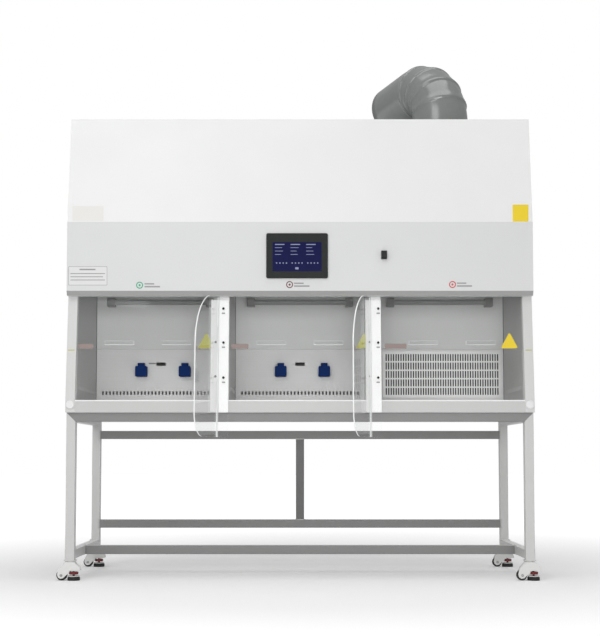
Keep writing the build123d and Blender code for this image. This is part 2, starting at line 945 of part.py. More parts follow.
knuckle_half = socket_neck_width / 2 - ear_thick - knuckle_gap
for number, x in enumerate(socket_xs, start=1):
    with BuildPart() as socket_lid:
        with BuildSketch(Plane.XZ.offset(-at(socket_front - seat_gap))):
            with Locations((x, socket_bottom + socket_height / 2)):
                RectangleRounded(socket_width, socket_height, socket_corner)
        extrude(amount=lid_thick - seat_gap)
        chamfer(socket_lid.faces().sort_by(Axis.Y)[0].edges(), length=lid_chamfer)
        with BuildSketch(Plane.YZ.offset(x - knuckle_half)):
            with Locations((at(lid_hinge_depth), lid_hinge_height)):
                Circle(lid_thick / 2 - seat_gap)
            with BuildLine():
                Polyline(
                    (at(lid_hinge_depth - lid_thick / 2 + seat_gap), lid_hinge_height),
                    (at(lid_hinge_depth + lid_thick / 2 - seat_gap), lid_hinge_height),
                    (at(lid_hinge_depth + lid_thick / 2 - seat_gap), socket_top - lid_lap),
                    (at(lid_hinge_depth - lid_thick / 2 + seat_gap), socket_top - lid_lap),
                    close=True,
                )
            make_face()
        extrude(amount=2 * knuckle_half)
        with BuildSketch(Plane.YZ.offset(x - knuckle_half)):
            with Locations((at(lid_hinge_depth), lid_hinge_height)):
                Circle(lid_bore)
        extrude(amount=2 * knuckle_half, mode=Mode.SUBTRACT)
    keep(socket_lid, f"socket_lid_{number}")

# --------------------------------------------------------------------- controls

screen_level = bezel_level - screen_drop

with BuildPart() as touch_panel_bezel:
    with BuildSketch(Plane.XZ.offset(-front_y)):
        with Locations((bezel_center_x, bezel_level)):
            RectangleRounded(bezel_width, bezel_height, bezel_corner)
    extrude(amount=bezel_thick)
    chamfer(touch_panel_bezel.faces().sort_by(Axis.Y)[0].edges(), length=bezel_chamfer)
    with BuildSketch(Plane.XZ.offset(-front_y + bezel_thick)):
        with Locations((bezel_center_x, screen_level)):
            Rectangle(screen_width, screen_height)
    extrude(amount=-screen_recess, mode=Mode.SUBTRACT)

keep(touch_panel_bezel, "touch_panel_bezel")

with BuildPart() as touch_panel_screen:
    with BuildSketch(Plane.XZ.offset(-front_y + bezel_thick - screen_recess)):
        with Locations((bezel_center_x, screen_level)):
            Rectangle(screen_width - 2 * seat_gap, screen_height - 2 * seat_gap)
    extrude(amount=screen_thick)

keep(touch_panel_screen, "touch_panel_screen")

rocker_depth = -switch_depth
rocker_half = switch_height / 2 - switch_wall - rocker_gap
rocker_width = switch_width - 2 * switch_wall - rocker_gap
rocker_axis_depth = rocker_depth + 2 * rocker_pin_radius

with BuildPart() as power_switch_body:
    with BuildSketch(Plane.XZ.offset(-front_y)):
        with Locations((switch_x, switch_level)):
            RectangleRounded(switch_width, switch_height, edge_round)
    extrude(amount=switch_depth)
    with BuildSketch(Plane.XZ.offset(-front_y + switch_depth)):
        with Locations((switch_x, switch_level)):
            Rectangle(rocker_width + rocker_gap, switch_height - 2 * switch_wall)
    extrude(amount=-switch_depth + skin, mode=Mode.SUBTRACT)
    with BuildSketch(Plane.YZ.offset(switch_x - switch_width / 2)):
        with Locations((at(rocker_axis_depth), switch_level)):
            Circle(rocker_pin_radius)
    extrude(amount=switch_width)

keep(power_switch_body, "power_switch_body")

with BuildPart() as power_rocker:
    rocker_lean = rocker_half * sin(radians(rocker_tilt))
    with BuildSketch(Plane.YZ.offset(switch_x - rocker_width / 2)):
        with BuildLine():
            Polyline(
                (at(rocker_depth - rocker_rise - rocker_lean), switch_level + rocker_half),
                (at(rocker_depth - rocker_rise + rocker_gap), switch_level),
                (at(rocker_depth - rocker_rise + rocker_lean), switch_level - rocker_half),
                (at(rocker_depth + rocker_lean), switch_level - rocker_half + rocker_gap),
                (at(rocker_depth + rocker_keel), switch_level - rocker_keel / 2),
                (at(rocker_depth + rocker_keel), switch_level + rocker_keel / 2),
                (at(rocker_depth + rocker_gap), switch_level + rocker_half - rocker_gap),
                close=True,
            )
        make_face()
        with Locations((at(rocker_axis_depth), switch_level)):
            Circle(rocker_pin_radius + running_fit, mode=Mode.SUBTRACT)
    extrude(amount=rocker_width)

keep(power_rocker, "power_rocker")

# ----------------------------------------------------------------------- sashes

glass_width = chamber_width + 2 * (groove_depth - groove_clearance)
sash_names = ["left", "centre", "right"]


def sash_plane(center, level):
    """Front plane of a sash's glass, with its origin at a level on its middle line."""
    depth = lean(sash_bottom) + glass_recess
    base = slope_plane(center, depth, sash_bottom)
    return Plane(
        origin=base.origin + up_slope * level,
        x_dir=base.x_dir,
        z_dir=base.z_dir,
    )


for center, side_name in zip(chamber_centers, sash_names):
    with BuildPart() as sash_glass:
        with BuildSketch(sash_plane(center, glass_length / 2)):
            RectangleRounded(glass_width, glass_length, glass_corner)
        extrude(amount=-glass_thick)
    keep(sash_glass, f"sash_glass_{side_name}")

    with BuildPart() as sash_pulls:
        with BuildSketch(sash_plane(center, pull_level + pull_height / 2)):
            with GridLocations(pull_spacing, 1, 2, 1):
                RectangleRounded(pull_length, pull_height, glass_corner)
        extrude(amount=pull_stand)
        pull_fronts = sash_pulls.faces().sort_by(Axis.Y)[:2]
        chamfer(pull_fronts.edges(), length=pull_chamfer)
    keep(sash_pulls, f"sash_pulls_{side_name}")

# ------------------------------------------------------------------------ wings

wing_length = (wing_top - wing_bottom) / cos(tilt)
knuckle_pitch = wing_length / knuckle_count
knuckle_length = knuckle_pitch - knuckle_gap
plate_front = column_plate + seat_gap
wing_edge = knuckle_radius + seat_gap


def hinge_x(center):
    """X of a wing's hinge pin, beside the left edge of its column."""
    return center - divider_thick / 2 - knuckle_radius


def hinge_plane(center, along):
    """Plane across a hinge pin, at a distance up the slope from its foot."""
    foot = Vector(hinge_x(center), at(lean(wing_bottom) - hinge_stand), wing_bottom)
    return Plane(origin=foot + up_slope * along, x_dir=(1, 0, 0), z_dir=up_slope)


with BuildPart() as wing_flanges:
    for center in divider_centers:
        with BuildSketch(hinge_plane(center, 0)):
            strip_middle = knuckle_radius + divider_thick / 2
            strip_y = (hinge_stand - plate_front - flange_thick / 2) * cos(tilt)
            with Locations((strip_middle, strip_y)):
                Rectangle(divider_thick, flange_thick)
        extrude(amount=wing_length)
        for index in range(0, knuckle_count, 2):
            with BuildSketch(hinge_plane(center, index * knuckle_pitch + knuckle_gap / 2)):
                Circle(knuckle_radius)
                with Locations((knuckle_radius, strip_y)):
                    Rectangle(2 * knuckle_radius, flange_thick)
            extrude(amount=knuckle_length)
        with BuildSketch(hinge_plane(center, knuckle_pitch / 2)):
            Circle(hinge_pin_radius)
        extrude(amount=wing_length - knuckle_pitch)

keep(wing_flanges, "wing_flanges")


def wing(center, lean_angle, name):
    """Clear plate that swings on the column's hinge, with rounded outer corners."""
    turn = radians(lean_angle)
    outward = out_slope * cos(turn) + Vector(-1, 0, 0) * sin(turn)
    foot = hinge_plane(center, 0).origin
    face = Plane(origin=foot, x_dir=outward, z_dir=outward.cross(up_slope))
    level_drop = tan(tilt) * cos(turn)
    with BuildPart() as plate:
        with BuildSketch(face) as outline:
            Polygon(
                (wing_edge, -wing_edge * level_drop),
                (wing_reach, -wing_reach * level_drop),
                (wing_reach, wing_length - wing_reach * level_drop),
                (wing_edge, wing_length - wing_edge * level_drop),
                align=None,
            )
            outer_side = outline.vertices().group_by(Axis.X)[-1]
            fillet(outer_side.sort_by(Axis.Y)[0], radius=wing_foot_radius)
            outer_side = outline.vertices().group_by(Axis.X)[-1]
            fillet(outer_side.sort_by(Axis.Y)[-1], radius=wing_top_radius)
        extrude(amount=wing_thick / 2, both=True)
        for index in range(1, knuckle_count, 2):
            start = index * knuckle_pitch + knuckle_gap / 2
            across = Plane(origin=foot + up_slope * start, x_dir=outward, z_dir=up_slope)
            with BuildSketch(across):
                Circle(knuckle_radius)
                with Locations((knuckle_radius, 0)):
                    Rectangle(2 * knuckle_radius, wing_thick)
                Circle(hinge_pin_radius + hinge_fit, mode=Mode.SUBTRACT)
            extrude(amount=knuckle_length)
    keep(plate, name)


wing(divider_centers[0], left_wing_lean, "wing_left")
wing(divider_centers[1], right_wing_lean, "wing_right")

# ---------------------------------------------------------------------- exhaust

bore_radius = duct_radius - duct_wall
collar_radius = bore_radius - seat_gap
collar_bore = collar_radius - collar_wall
duct_y = at(duct_depth)
duct_foot = case_top + collar_flange_thick
bend_height = case_top + duct_rise

with BuildPart() as exhaust_collar:
    with BuildSketch(Plane.XY.offset(case_top)):
        with Locations((duct_x, duct_y)):
            Circle(duct_radius + collar_flange)
            Circle(collar_bore, mode=Mode.SUBTRACT)
    extrude(amount=collar_flange_thick)
    with BuildSketch(Plane.XY.offset(case_top)):
        with Locations((duct_x, duct_y)):
            Circle(collar_radius)
            Circle(collar_bore, mode=Mode.SUBTRACT)
    extrude(amount=collar_height)

keep(exhaust_collar, "exhaust_collar")

swing = radians(duct_swing)
bend_plane = Plane(
    origin=(duct_x, duct_y, 0),
    x_dir=(-cos(swing), sin(swing), 0),
    z_dir=(sin(swing), cos(swing), 0),
)
bend_axis = Axis(
    (duct_x - duct_bend_radius * cos(swing), duct_y + duct_bend_radius * sin(swing), bend_height),
    (-sin(swing), -cos(swing), 0),
)


def bend_section(angle):
    """Plane across the gooseneck, at an angle round its bend."""
    turn = radians(angle)
    along = duct_bend_radius * (1 - cos(turn))
    height = duct_bend_radius * sin(turn)
    origin = bend_plane.from_local_coords(Vector(along, bend_height + height, 0))
    forward = bend_plane.x_dir * sin(turn) + bend_plane.y_dir * cos(turn)
    return Plane(origin=origin, x_dir=bend_plane.z_dir, z_dir=forward)


with BuildPart() as exhaust_duct:
    for radius, mode in ((duct_radius, Mode.ADD), (bore_radius, Mode.SUBTRACT)):
        with BuildSketch(Plane.XY.offset(duct_foot)):
            with Locations((duct_x, duct_y)):
                Circle(radius)
        extrude(amount=bend_height - duct_foot, mode=mode)
        with BuildSketch(bend_section(0)):
            Circle(radius)
        revolve(axis=bend_axis, revolution_arc=duct_bend_angle, mode=mode)
        with BuildSketch(bend_section(duct_bend_angle)):
            Circle(radius)
        extrude(amount=duct_run, mode=mode)
    for index in range(duct_rib_count):
        start = duct_rib_start + index * duct_rib_pitch - duct_rib_turn / 2
        with BuildSketch(bend_section(start)):
            Circle(duct_radius + duct_rib)
            Circle(duct_radius - duct_wall / 2, mode=Mode.SUBTRACT)
        revolve(axis=bend_axis, revolution_arc=duct_rib_turn)

keep(exhaust_duct, "exhaust_duct")

blower_bottom = shell_top - blower_height
motor_base = blower_bottom + skin
shaft_base = motor_base + motor_height
shaft_tip = shaft_base + shaft_height

with BuildPart() as blower_housing:
    with BuildSketch(Plane.XY.offset(blower_bottom)):
        with Locations((duct_x, duct_y)):
            Circle(blower_radius)
    extrude(amount=blower_height)
    with BuildSketch(Plane.XY.offset(blower_bottom + skin)):
        with Locations((duct_x, duct_y)):
            Circle(blower_radius - skin)
    extrude(amount=blower_height - 2 * skin, mode=Mode.SUBTRACT)
    with BuildSketch(Plane.XY.offset(shell_top - skin)):
        with Locations((duct_x, duct_y)):
            Circle(collar_bore)
    extrude(amount=skin, mode=Mode.SUBTRACT)
    with BuildSketch(Plane.XY.offset(blower_bottom)):
        with Locations((duct_x, duct_y)):
            Circle(blower_inlet)
            Rectangle(2 * blower_inlet, motor_radius, mode=Mode.SUBTRACT)
    extrude(amount=skin, mode=Mode.SUBTRACT)
    with BuildSketch(Plane.XY.offset(motor_base)):
        with Locations((duct_x, duct_y)):
            Circle(motor_radius)
    extrude(amount=motor_height)
    with BuildSketch(Plane.XY.offset(shaft_base)):
        with Locations((duct_x, duct_y)):
            Circle(shaft_radius)
    extrude(amount=shaft_height)

keep(blower_housing, "blower_housing")

hub_height = shaft_height - skin
disc_bottom = shaft_tip - 2 * skin

with BuildPart() as blower_impeller:
    with BuildSketch(Plane.XY.offset(disc_bottom)):
        with Locations((duct_x, duct_y)):
            Circle(impeller_radius)
    extrude(amount=skin)
    with BuildSketch(Plane.XY.offset(disc_bottom - hub_height + 2 * skin)):
        with Locations((duct_x, duct_y)):
            Circle(2 * shaft_radius)
    extrude(amount=hub_height - skin)
    with BuildSketch(Plane.XY.offset(disc_bottom - impeller_height)):
        with Locations((duct_x, duct_y)):
            blade_middle = (impeller_radius + impeller_inner) / 2
            blade_length = impeller_radius - impeller_inner - blade_thick
            with PolarLocations(blade_middle, blade_count):
                Rectangle(blade_length, blade_thick, rotation=blade_pitch_angle)
    extrude(amount=impeller_height)
    with BuildSketch(Plane.XY.offset(disc_bottom - impeller_height)):
        with Locations((duct_x, duct_y)):
            Circle(impeller_radius)
            Circle(impeller_inner, mode=Mode.SUBTRACT)
    extrude(amount=-skin)
    with BuildSketch(Plane.XY.offset(disc_bottom - impeller_height)):
        with Locations((duct_x, duct_y)):
            Circle(shaft_radius + shaft_fit)
    extrude(amount=impeller_height + 2 * skin, mode=Mode.SUBTRACT)

keep(blower_impeller, "blower_impeller")
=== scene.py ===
"""Looks of the three-chamber biosafety cabinet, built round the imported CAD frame."""

import json
import math

import bmesh
import bpy
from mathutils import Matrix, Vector


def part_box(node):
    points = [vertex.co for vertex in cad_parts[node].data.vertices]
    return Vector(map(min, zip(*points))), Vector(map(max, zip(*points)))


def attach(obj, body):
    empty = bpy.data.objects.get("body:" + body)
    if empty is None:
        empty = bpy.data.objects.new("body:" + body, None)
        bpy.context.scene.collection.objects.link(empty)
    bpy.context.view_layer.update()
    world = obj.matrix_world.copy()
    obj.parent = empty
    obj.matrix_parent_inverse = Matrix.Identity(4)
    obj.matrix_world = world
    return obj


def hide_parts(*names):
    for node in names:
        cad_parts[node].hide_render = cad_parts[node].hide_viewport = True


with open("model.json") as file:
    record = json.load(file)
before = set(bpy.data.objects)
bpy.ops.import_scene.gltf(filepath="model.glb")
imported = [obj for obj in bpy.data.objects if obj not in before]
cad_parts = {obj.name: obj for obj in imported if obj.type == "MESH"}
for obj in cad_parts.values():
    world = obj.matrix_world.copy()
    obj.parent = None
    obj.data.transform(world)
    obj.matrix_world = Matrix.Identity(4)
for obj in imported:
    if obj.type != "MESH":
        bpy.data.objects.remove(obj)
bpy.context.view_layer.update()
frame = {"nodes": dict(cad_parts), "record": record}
nodes = frame["nodes"]

# ------------------------------------------------------------------ measures (m)

FRONT_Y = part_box("base_tray")[0][1]
CAMERA_DISTANCE = 5.280
CAMERA_HEIGHT = 0.539
CAMERA_PITCH = math.radians(3.3)
FOCAL_PX = 1204.5
HORIZON_PX = 457.0
CENTER_PX = 318.0
MIDDLE_PX = 300.0
FRAME_PX = 636.0
SENSOR_MM = 36.0
DUCT_RISE = 0.030
SCREW_INSET = 0.022
LOWER_BEAM_DEPTH = 0.290
WHEEL_HEIGHT = 0.023
PAD_TOP = 0.017
CUP_RADIUS = 0.0262
BACKING_GAP = 0.0001
BACKING_DEPTH = 0.006
BACKING_INSET = 0.004
BACKING_FOLDS = 120
SIDES = ("left", "centre", "right")
CORNERS = ("front_left", "front_right", "rear_left", "rear_right")

EYE = Vector((0, FRONT_Y - CAMERA_DISTANCE, CAMERA_HEIGHT))
AXIS_PX = HORIZON_PX - FOCAL_PX * math.tan(CAMERA_PITCH)
RIM_LEVEL = 0.92

# ------------------------------------------------------------------ node helpers


class Nodes:
    """Small helper that adds and links shader nodes in one material."""

    def __init__(self, name):
        self.material = bpy.data.materials.new(name)
        self.material.use_nodes = True
        self.tree = self.material.node_tree
        self.shader = self.tree.nodes["Principled BSDF"]
        self.output = self.tree.nodes["Material Output"]

    def add(self, kind, **values):
        node = self.tree.nodes.new(kind)
        for key, value in values.items():
            if hasattr(node, key):
                setattr(node, key, value)
            else:
                node.inputs[key.replace("_", " ")].default_value = value
        return node

    def link(self, source, target):
        self.tree.links.new(source, target)

    def math(self, operation, first, second=None):
        """Result of a Math node on outputs or numbers."""
        node = self.add("ShaderNodeMath", operation=operation)
        for slot, value in enumerate((first, second)):
            if isinstance(value, (int, float)):
                node.inputs[slot].default_value = value
            elif value is not None:
                self.link(value, node.inputs[slot])
        return node.outputs[0]

    def coords(self, scale=(1, 1, 1)):
        """Object coordinates, in metres, scaled along each axis."""
        source = self.add("ShaderNodeTexCoord")
        mapping = self.add("ShaderNodeMapping")
        mapping.inputs["Scale"].default_value = scale
        self.link(source.outputs["Object"], mapping.inputs["Vector"])
        return mapping.outputs["Vector"]

    def noise(self, scale, detail=3.0, stretch=(1, 1, 1), roughness=0.5):
        node = self.add("ShaderNodeTexNoise")
        node.inputs["Scale"].default_value = scale
        node.inputs["Detail"].default_value = detail
        node.inputs["Roughness"].default_value = roughness
        self.link(self.coords(stretch), node.inputs["Vector"])
        return node.outputs["Fac"]

    def facing(self, axis):
        """How squarely a face of the object looks along an axis, -1 to 1."""
        source = self.add("ShaderNodeTexCoord")
        dot = self.add("ShaderNodeVectorMath", operation="DOT_PRODUCT")
        dot.inputs[1].default_value = axis
        self.link(source.outputs["Normal"], dot.inputs[0])
        return dot.outputs["Value"]

    def ramp(self, fac, low, high, start=0.3, end=0.7):
        """Two-colour ramp driven by a factor."""
        node = self.add("ShaderNodeValToRGB")
        node.color_ramp.elements[0].position = start
        node.color_ramp.elements[1].position = end
        node.color_ramp.elements[0].color = (*low, 1)
        node.color_ramp.elements[1].color = (*high, 1)
        self.link(fac, node.inputs["Fac"])
        return node.outputs["Color"]

    def span(self, fac, low, high):
        """Factor 0 to 1 mapped to low to high."""
        node = self.add("ShaderNodeMapRange")
        node.inputs["To Min"].default_value = low
        node.inputs["To Max"].default_value = high
        self.link(fac, node.inputs["Value"])
        return node.outputs["Result"]

    def multiply(self, color, other):
        node = self.add("ShaderNodeMix", data_type="RGBA", blend_type="MULTIPLY")
        node.inputs[0].default_value = 1.0
        self.link(color, node.inputs[6])
        self.link(other, node.inputs[7])
        return node.outputs[2]

    def bump(self, fac, strength, distance):
        node = self.add("ShaderNodeBump")
        node.inputs["Strength"].default_value = strength
        node.inputs["Distance"].default_value = distance
        self.link(fac, node.inputs["Height"])
        self.link(node.outputs["Normal"], self.shader.inputs["Normal"])


def shade(color, factor):
    return tuple(min(1.0, channel * factor) for channel in color)


def painted(name, color, roughness=0.42, variation=0.02, peel=0.12):
    """Powder coat: faint cloudy tone, orange-peel bump and uneven sheen."""
    n = Nodes(name)
    cloud = n.noise(2.2, 4.0)
    n.link(
        n.ramp(cloud, shade(color, 1 - variation), shade(color, 1 + variation)),
        n.shader.inputs["Base Color"],
    )
    n.link(n.span(n.noise(14.0), roughness - 0.05, roughness + 0.06), n.shader.inputs["Roughness"])
    n.bump(n.noise(900.0, 2.0), peel, 0.0004)
    return n.material


def brushed(name, color, roughness=0.34, along=0, grain=0.08, metallic=0.85):
    """Brushed sheet: fine streaks along one axis in colour, roughness and bump."""
    n = Nodes(name)
    stretch = [260.0, 260.0, 260.0]
    stretch[along] = 3.0
    streaks = n.noise(1.0, 4.0, stretch, 0.7)
    tone = n.ramp(streaks, shade(color, 1 - grain), shade(color, 1 + grain))
    cloud = n.ramp(n.noise(3.0, 3.0), (0.93, 0.93, 0.93), (1, 1, 1))
    n.link(n.multiply(tone, cloud), n.shader.inputs["Base Color"])
    n.link(n.span(streaks, roughness - 0.06, roughness + 0.1), n.shader.inputs["Roughness"])
    n.shader.inputs["Metallic"].default_value = metallic
    n.bump(streaks, 0.12, 0.0002)
    return n.material


def moulded(name, color, roughness=0.45, variation=0.06, grain=0.2, specular=0.5):
    """Moulded plastic or rubber: fine grain with a little tone variation."""
    n = Nodes(name)
    n.shader.inputs["Specular IOR Level"].default_value = specular
    n.link(
        n.ramp(n.noise(35.0, 3.0), shade(color, 1 - variation), shade(color, 1 + variation)),
        n.shader.inputs["Base Color"],
    )
    n.link(n.span(n.noise(60.0), roughness - 0.06, roughness + 0.08), n.shader.inputs["Roughness"])
    n.bump(n.noise(1500.0, 2.0), grain, 0.0002)
    return n.material


def broad_axis(node):
    """Normal of the largest face of a CAD node."""
    return max(nodes[node].data.polygons, key=lambda face: face.area).normal.copy()


def clear(name, axis, tint, edge, gloss, highlit_side=None):
    """Clear sheet: see-through broad faces with mirror gloss, and pale cut edges; on acrylic the pale edge is
    a painted highlight.

    Where a highlight side is given, only the cut edges that look that way are bright, the others at a fifth.
    """
    n = Nodes(name)
    see = n.add("ShaderNodeBsdfTransparent")
    see.inputs["Color"].default_value = (*tint, 1)
    mirror = n.add("ShaderNodeBsdfGlossy")
    mirror.inputs["Roughness"].default_value = 0.03
    mirror.inputs["Color"].default_value = (0.95, 0.96, 0.96, 1)
    fresnel = n.add("ShaderNodeFresnel")
    fresnel.inputs["IOR"].default_value = 1.45
    sheet = n.add("ShaderNodeMixShader")
    n.link(n.math("MULTIPLY", fresnel.outputs["Fac"], gloss), sheet.inputs["Fac"])
    n.link(see.outputs[0], sheet.inputs[1])
    n.link(mirror.outputs[0], sheet.inputs[2])
    n.link(n.ramp(n.noise(3.0, 2.0), shade(edge, 0.96), edge), n.shader.inputs["Base Color"])
    n.shader.inputs["Roughness"].default_value = 0.3
    rim = n.math("LESS_THAN", n.math("ABSOLUTE", n.facing(axis)), 0.85)
    amount = n.math("MULTIPLY", rim, RIM_LEVEL)
    # Painted highlight: full on the cut edges facing the given side, a fifth on the rest.
    if highlit_side is not None:
        bright = n.math("GREATER_THAN", n.facing(highlit_side), 0.05)
        amount = n.math("MULTIPLY", amount, n.span(bright, 0.2, 1.0))
    mix = n.add("ShaderNodeMixShader")
    n.link(amount, mix.inputs["Fac"])
    n.link(sheet.outputs[0], mix.inputs[1])
    n.link(n.shader.outputs[0], mix.inputs[2])
    n.link(mix.outputs[0], n.output.inputs["Surface"])
    return n.material


def lit_and_shaded_coat(name, axis, ahead, elsewhere, roughness=0.42):
    """Powder coat in lit and shaded copies: one tone on the faces that look along an axis, another elsewhere;
    painted light and shade.
    """
    n = Nodes(name)
    cloud = n.noise(2.2, 4.0)
    tones = [n.ramp(cloud, shade(tone, 0.985), shade(tone, 1.015)) for tone in (elsewhere, ahead)]
    mix = n.add("ShaderNodeMix", data_type="RGBA")
    n.link(n.math("GREATER_THAN", n.facing(axis), 0.8), mix.inputs[0])
    n.link(tones[0], mix.inputs[6])
    n.link(tones[1], mix.inputs[7])
    n.link(mix.outputs[2], n.shader.inputs["Base Color"])
    n.link(n.span(n.noise(14.0), roughness - 0.05, roughness + 0.06), n.shader.inputs["Roughness"])
    n.bump(n.noise(900.0, 2.0), 0.12, 0.0004)
    return n.material


def grey(level):
    return (level, level, level * 0.99)


FORWARD = (0, -1, 0)
UPWARD = (0, 0, 1)
SIDEWARD = (1, 0, 0)
WHITE = (0.775, 0.78, 0.775)
ACRYLIC_TINT = (0.995, 0.997, 0.997)
# The acrylic's pale cut-edge tone is a painted highlight for the light its edges catch.
ACRYLIC_LIT_EDGE = (0.93, 0.94, 0.94)
GLASS_TINT = (0.975, 0.98, 0.978)
GLASS_EDGE = (0.30, 0.32, 0.31)

M = {
    "white_paint": painted("white_paint", WHITE),
    # A darker copy of the white paint: painted shade.
    "panel_paint": painted("panel_paint", (0.655, 0.66, 0.66)),
    "stand_paint": painted("stand_paint", grey(0.58)),
    "white_cast": painted("white_cast", (0.72, 0.72, 0.71), 0.35, 0.04, 0.3),
    "stainless": brushed("stainless", (0.86, 0.86, 0.855), 0.45, 0, 0.03, 0.25),
    "zinc_steel": brushed("zinc_steel", (0.42, 0.43, 0.44), 0.4, 2),
    "filter_pack": moulded("filter_pack", (0.7, 0.7, 0.66), 0.8),
    "lamp_glass": moulded("lamp_glass", (0.30, 0.305, 0.30), 0.12, 0.03, 0.02),
    "lamp_plastic": moulded("lamp_plastic", (0.26, 0.26, 0.255), 0.4),
    "blue_plastic": moulded("blue_plastic", (0.0028, 0.0290, 0.155), 0.55, specular=0.1),
    "black_plastic": moulded("black_plastic", (0.012, 0.015, 0.0145), 0.45, specular=0.2),
    "screen_glass": moulded("screen_glass", (0.0050, 0.0065, 0.060), 0.30, 0.08, 0.0, 0.08),
    "sash_glass": clear(
        "sash_glass", broad_axis("sash_glass_left"), GLASS_TINT, GLASS_EDGE, 0.35
    ),
    "clear_acrylic": clear(
        "clear_acrylic", broad_axis("wing_flanges"), ACRYLIC_TINT, ACRYLIC_LIT_EDGE, 0.25
    ),
    "duct_plastic": moulded("duct_plastic", (0.175, 0.185, 0.18), 0.22, 0.03, 0.03, 0.8),
    "impeller_metal": brushed("impeller_metal", (0.5, 0.5, 0.5)),
    "black_tread": moulded("black_tread", (0.012, 0.012, 0.012), 0.5),
    "red_plastic": moulded("red_plastic", (0.16, 0.01, 0.012), 0.4),
    "black_rubber": moulded("black_rubber", (0.010, 0.010, 0.010), 0.7),
}
# Nodes whose tone under this light differs from the rest of their slot; most are painted light and shade,
# lighter or darker copies of their slot's finish.
OWN = {
    # Base tray: painted shade on its front faces, painted light on the rest, brightest along the armrest top.
    "base_tray": lit_and_shaded_coat("base_lit_and_shaded_paint", FORWARD, grey(0.54), grey(1.0)),
    # Posts: a darker copy of the white paint, painted shade.
    "cheek_left": painted("cheek_shaded_paint", grey(0.63)),
    # Column fronts: a brighter copy of the white paint, painted light.
    "divider_left": painted("column_lit_paint", grey(0.98)),
    # Cross beams: painted shade on all but their upward faces, which are painted lighter as lit tops.
    "stand_cross_beams": lit_and_shaded_coat("beam_shaded_paint", UPWARD, grey(0.60), grey(0.215)),
    # Centre post: a far darker copy of the stand paint, painted shade.
    "stand_centre_post": painted("post_shaded_paint", grey(0.12)),
    # Side rails: painted light on upward faces, painted shade on the rest.
    "stand_side_rails": lit_and_shaded_coat("rail_lit_and_shaded_paint", UPWARD, grey(0.90), grey(0.56)),
    "rear_walls": brushed("wall_sheet", (0.87, 0.87, 0.865), 0.5, 0, 0.02, 0.05),
    # Chamber liners: a darker copy of the stainless, painted shade.
    "chamber_liners": brushed("liner_shaded_sheet", (0.57, 0.57, 0.565), 0.45, 0, 0.03, 0.25),
    # Control panel: painted shade on its lip faces that look down and forward.
    "control_panel": lit_and_shaded_coat("panel_lip_shade", (0, -0.7071, -0.7071), grey(0.335), (0.655, 0.66, 0.66)),
}
OWN["cheek_right"] = OWN["cheek_left"]
OWN["divider_right"] = OWN["divider_left"]
INK = {
    "grey": painted("ink_grey", (0.30, 0.30, 0.30), 0.6),
    "pale": painted("ink_pale", (0.745, 0.73, 0.70), 0.5),
    "white": painted("ink_white", (0.70, 0.70, 0.70), 0.5),
    "green": painted("ink_green", (0.02, 0.36, 0.20), 0.5),
    "dark_red": painted("ink_dark_red", (0.13, 0.03, 0.03), 0.5),
    "red": painted("ink_red", (0.55, 0.05, 0.05), 0.5),
    "yellow": painted("ink_yellow", (0.80, 0.60, 0.02), 0.45),
    "olive": painted("ink_olive", (0.45, 0.44, 0.05), 0.45),
    "pink": painted("ink_pink", (0.28, 0.215, 0.20), 0.5),
    # Near-black: painted shade behind the return grille; the corner strips use it too.
    "backing": painted("ink_near_black", (0.035, 0.035, 0.035), 0.6),
    "figures": painted("ink_figures", (0.24, 0.27, 0.42), 0.4),
}


def finish_of(name, slot):
    """Material of a CAD node: its own clear sheet, its own tone (mostly painted light and shade) or its
    slot's finish.
    """
    if name == "wing_flanges":
        return clear("flange_acrylic", broad_axis(name), ACRYLIC_TINT, ACRYLIC_LIT_EDGE, 0.25, SIDEWARD)
    if name in ("wing_left", "wing_right"):
        axis = broad_axis(name)
        reach = axis.cross(Vector(UPWARD)).normalized()
        reach *= -1 if reach.y > 0 else 1
        return clear(name, axis, ACRYLIC_TINT, ACRYLIC_LIT_EDGE, 0.22, reach)
    return OWN.get(name, M[slot])


def dress_nodes():
    """Gives each CAD node its material."""
    for entry in frame["record"]["subparts"]:
        mesh = nodes[entry["node"]].data
        mesh.materials.clear()
        mesh.materials.append(finish_of(entry["node"], entry["material_slot"]))


dress_nodes()

# ------------------------------------------------------------------ mesh helpers


def body_of(node):
    """Name of the body that a CAD node belongs to."""
    for body, members in frame["record"]["behaviour"]["bodies"].items():
        if node in members:
            return body


def finish_piece(name, bm, material, body, smooth=False):
    """Makes an object of a bmesh, dressed and riding on its body."""
    bmesh.ops.recalc_face_normals(bm, faces=bm.faces)
    mesh = bpy.data.meshes.new(name)
    bm.to_mesh(mesh)
    bm.free()
    for face in mesh.polygons:
        face.use_smooth = smooth
    mesh.materials.append(material)
    piece = bpy.data.objects.new(name, mesh)
    bpy.context.collection.objects.link(piece)
    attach(piece, body)
    return piece


def ray(px, py):
    """Direction from the camera through a pixel of the photograph."""
    across = (px - MIDDLE_PX) / FOCAL_PX
    up = (AXIS_PX - py) / FOCAL_PX
    c, s = math.cos(CAMERA_PITCH), math.sin(CAMERA_PITCH)
    return Vector((across, c - up * s, s + up * c)).normalized()


def land(node, px, py):
    """Point and normal of a node's surface behind a pixel of the photograph."""
    hit, point, normal, _ = nodes[node].ray_cast(EYE, ray(px, py))
    if not hit:
        raise RuntimeError(f"pixel {px}, {py} misses {node}")
    return point, normal


def prism(bm, outline, node, lift, sink=0.0003):
    """Thin closed plate with a pixel outline, lying on a node's surface."""
    landed = [land(node, px, py) for px, py in outline]
    top = [bm.verts.new(point + normal * lift) for point, normal in landed]
    low = [bm.verts.new(point - normal * sink) for point, normal in landed]
    bm.faces.new(top)
    bm.faces.new(list(reversed(low)))
    count = len(outline)
    for i in range(count):
        j = (i + 1) % count
        bm.faces.new((top[i], low[i], low[j], top[j]))


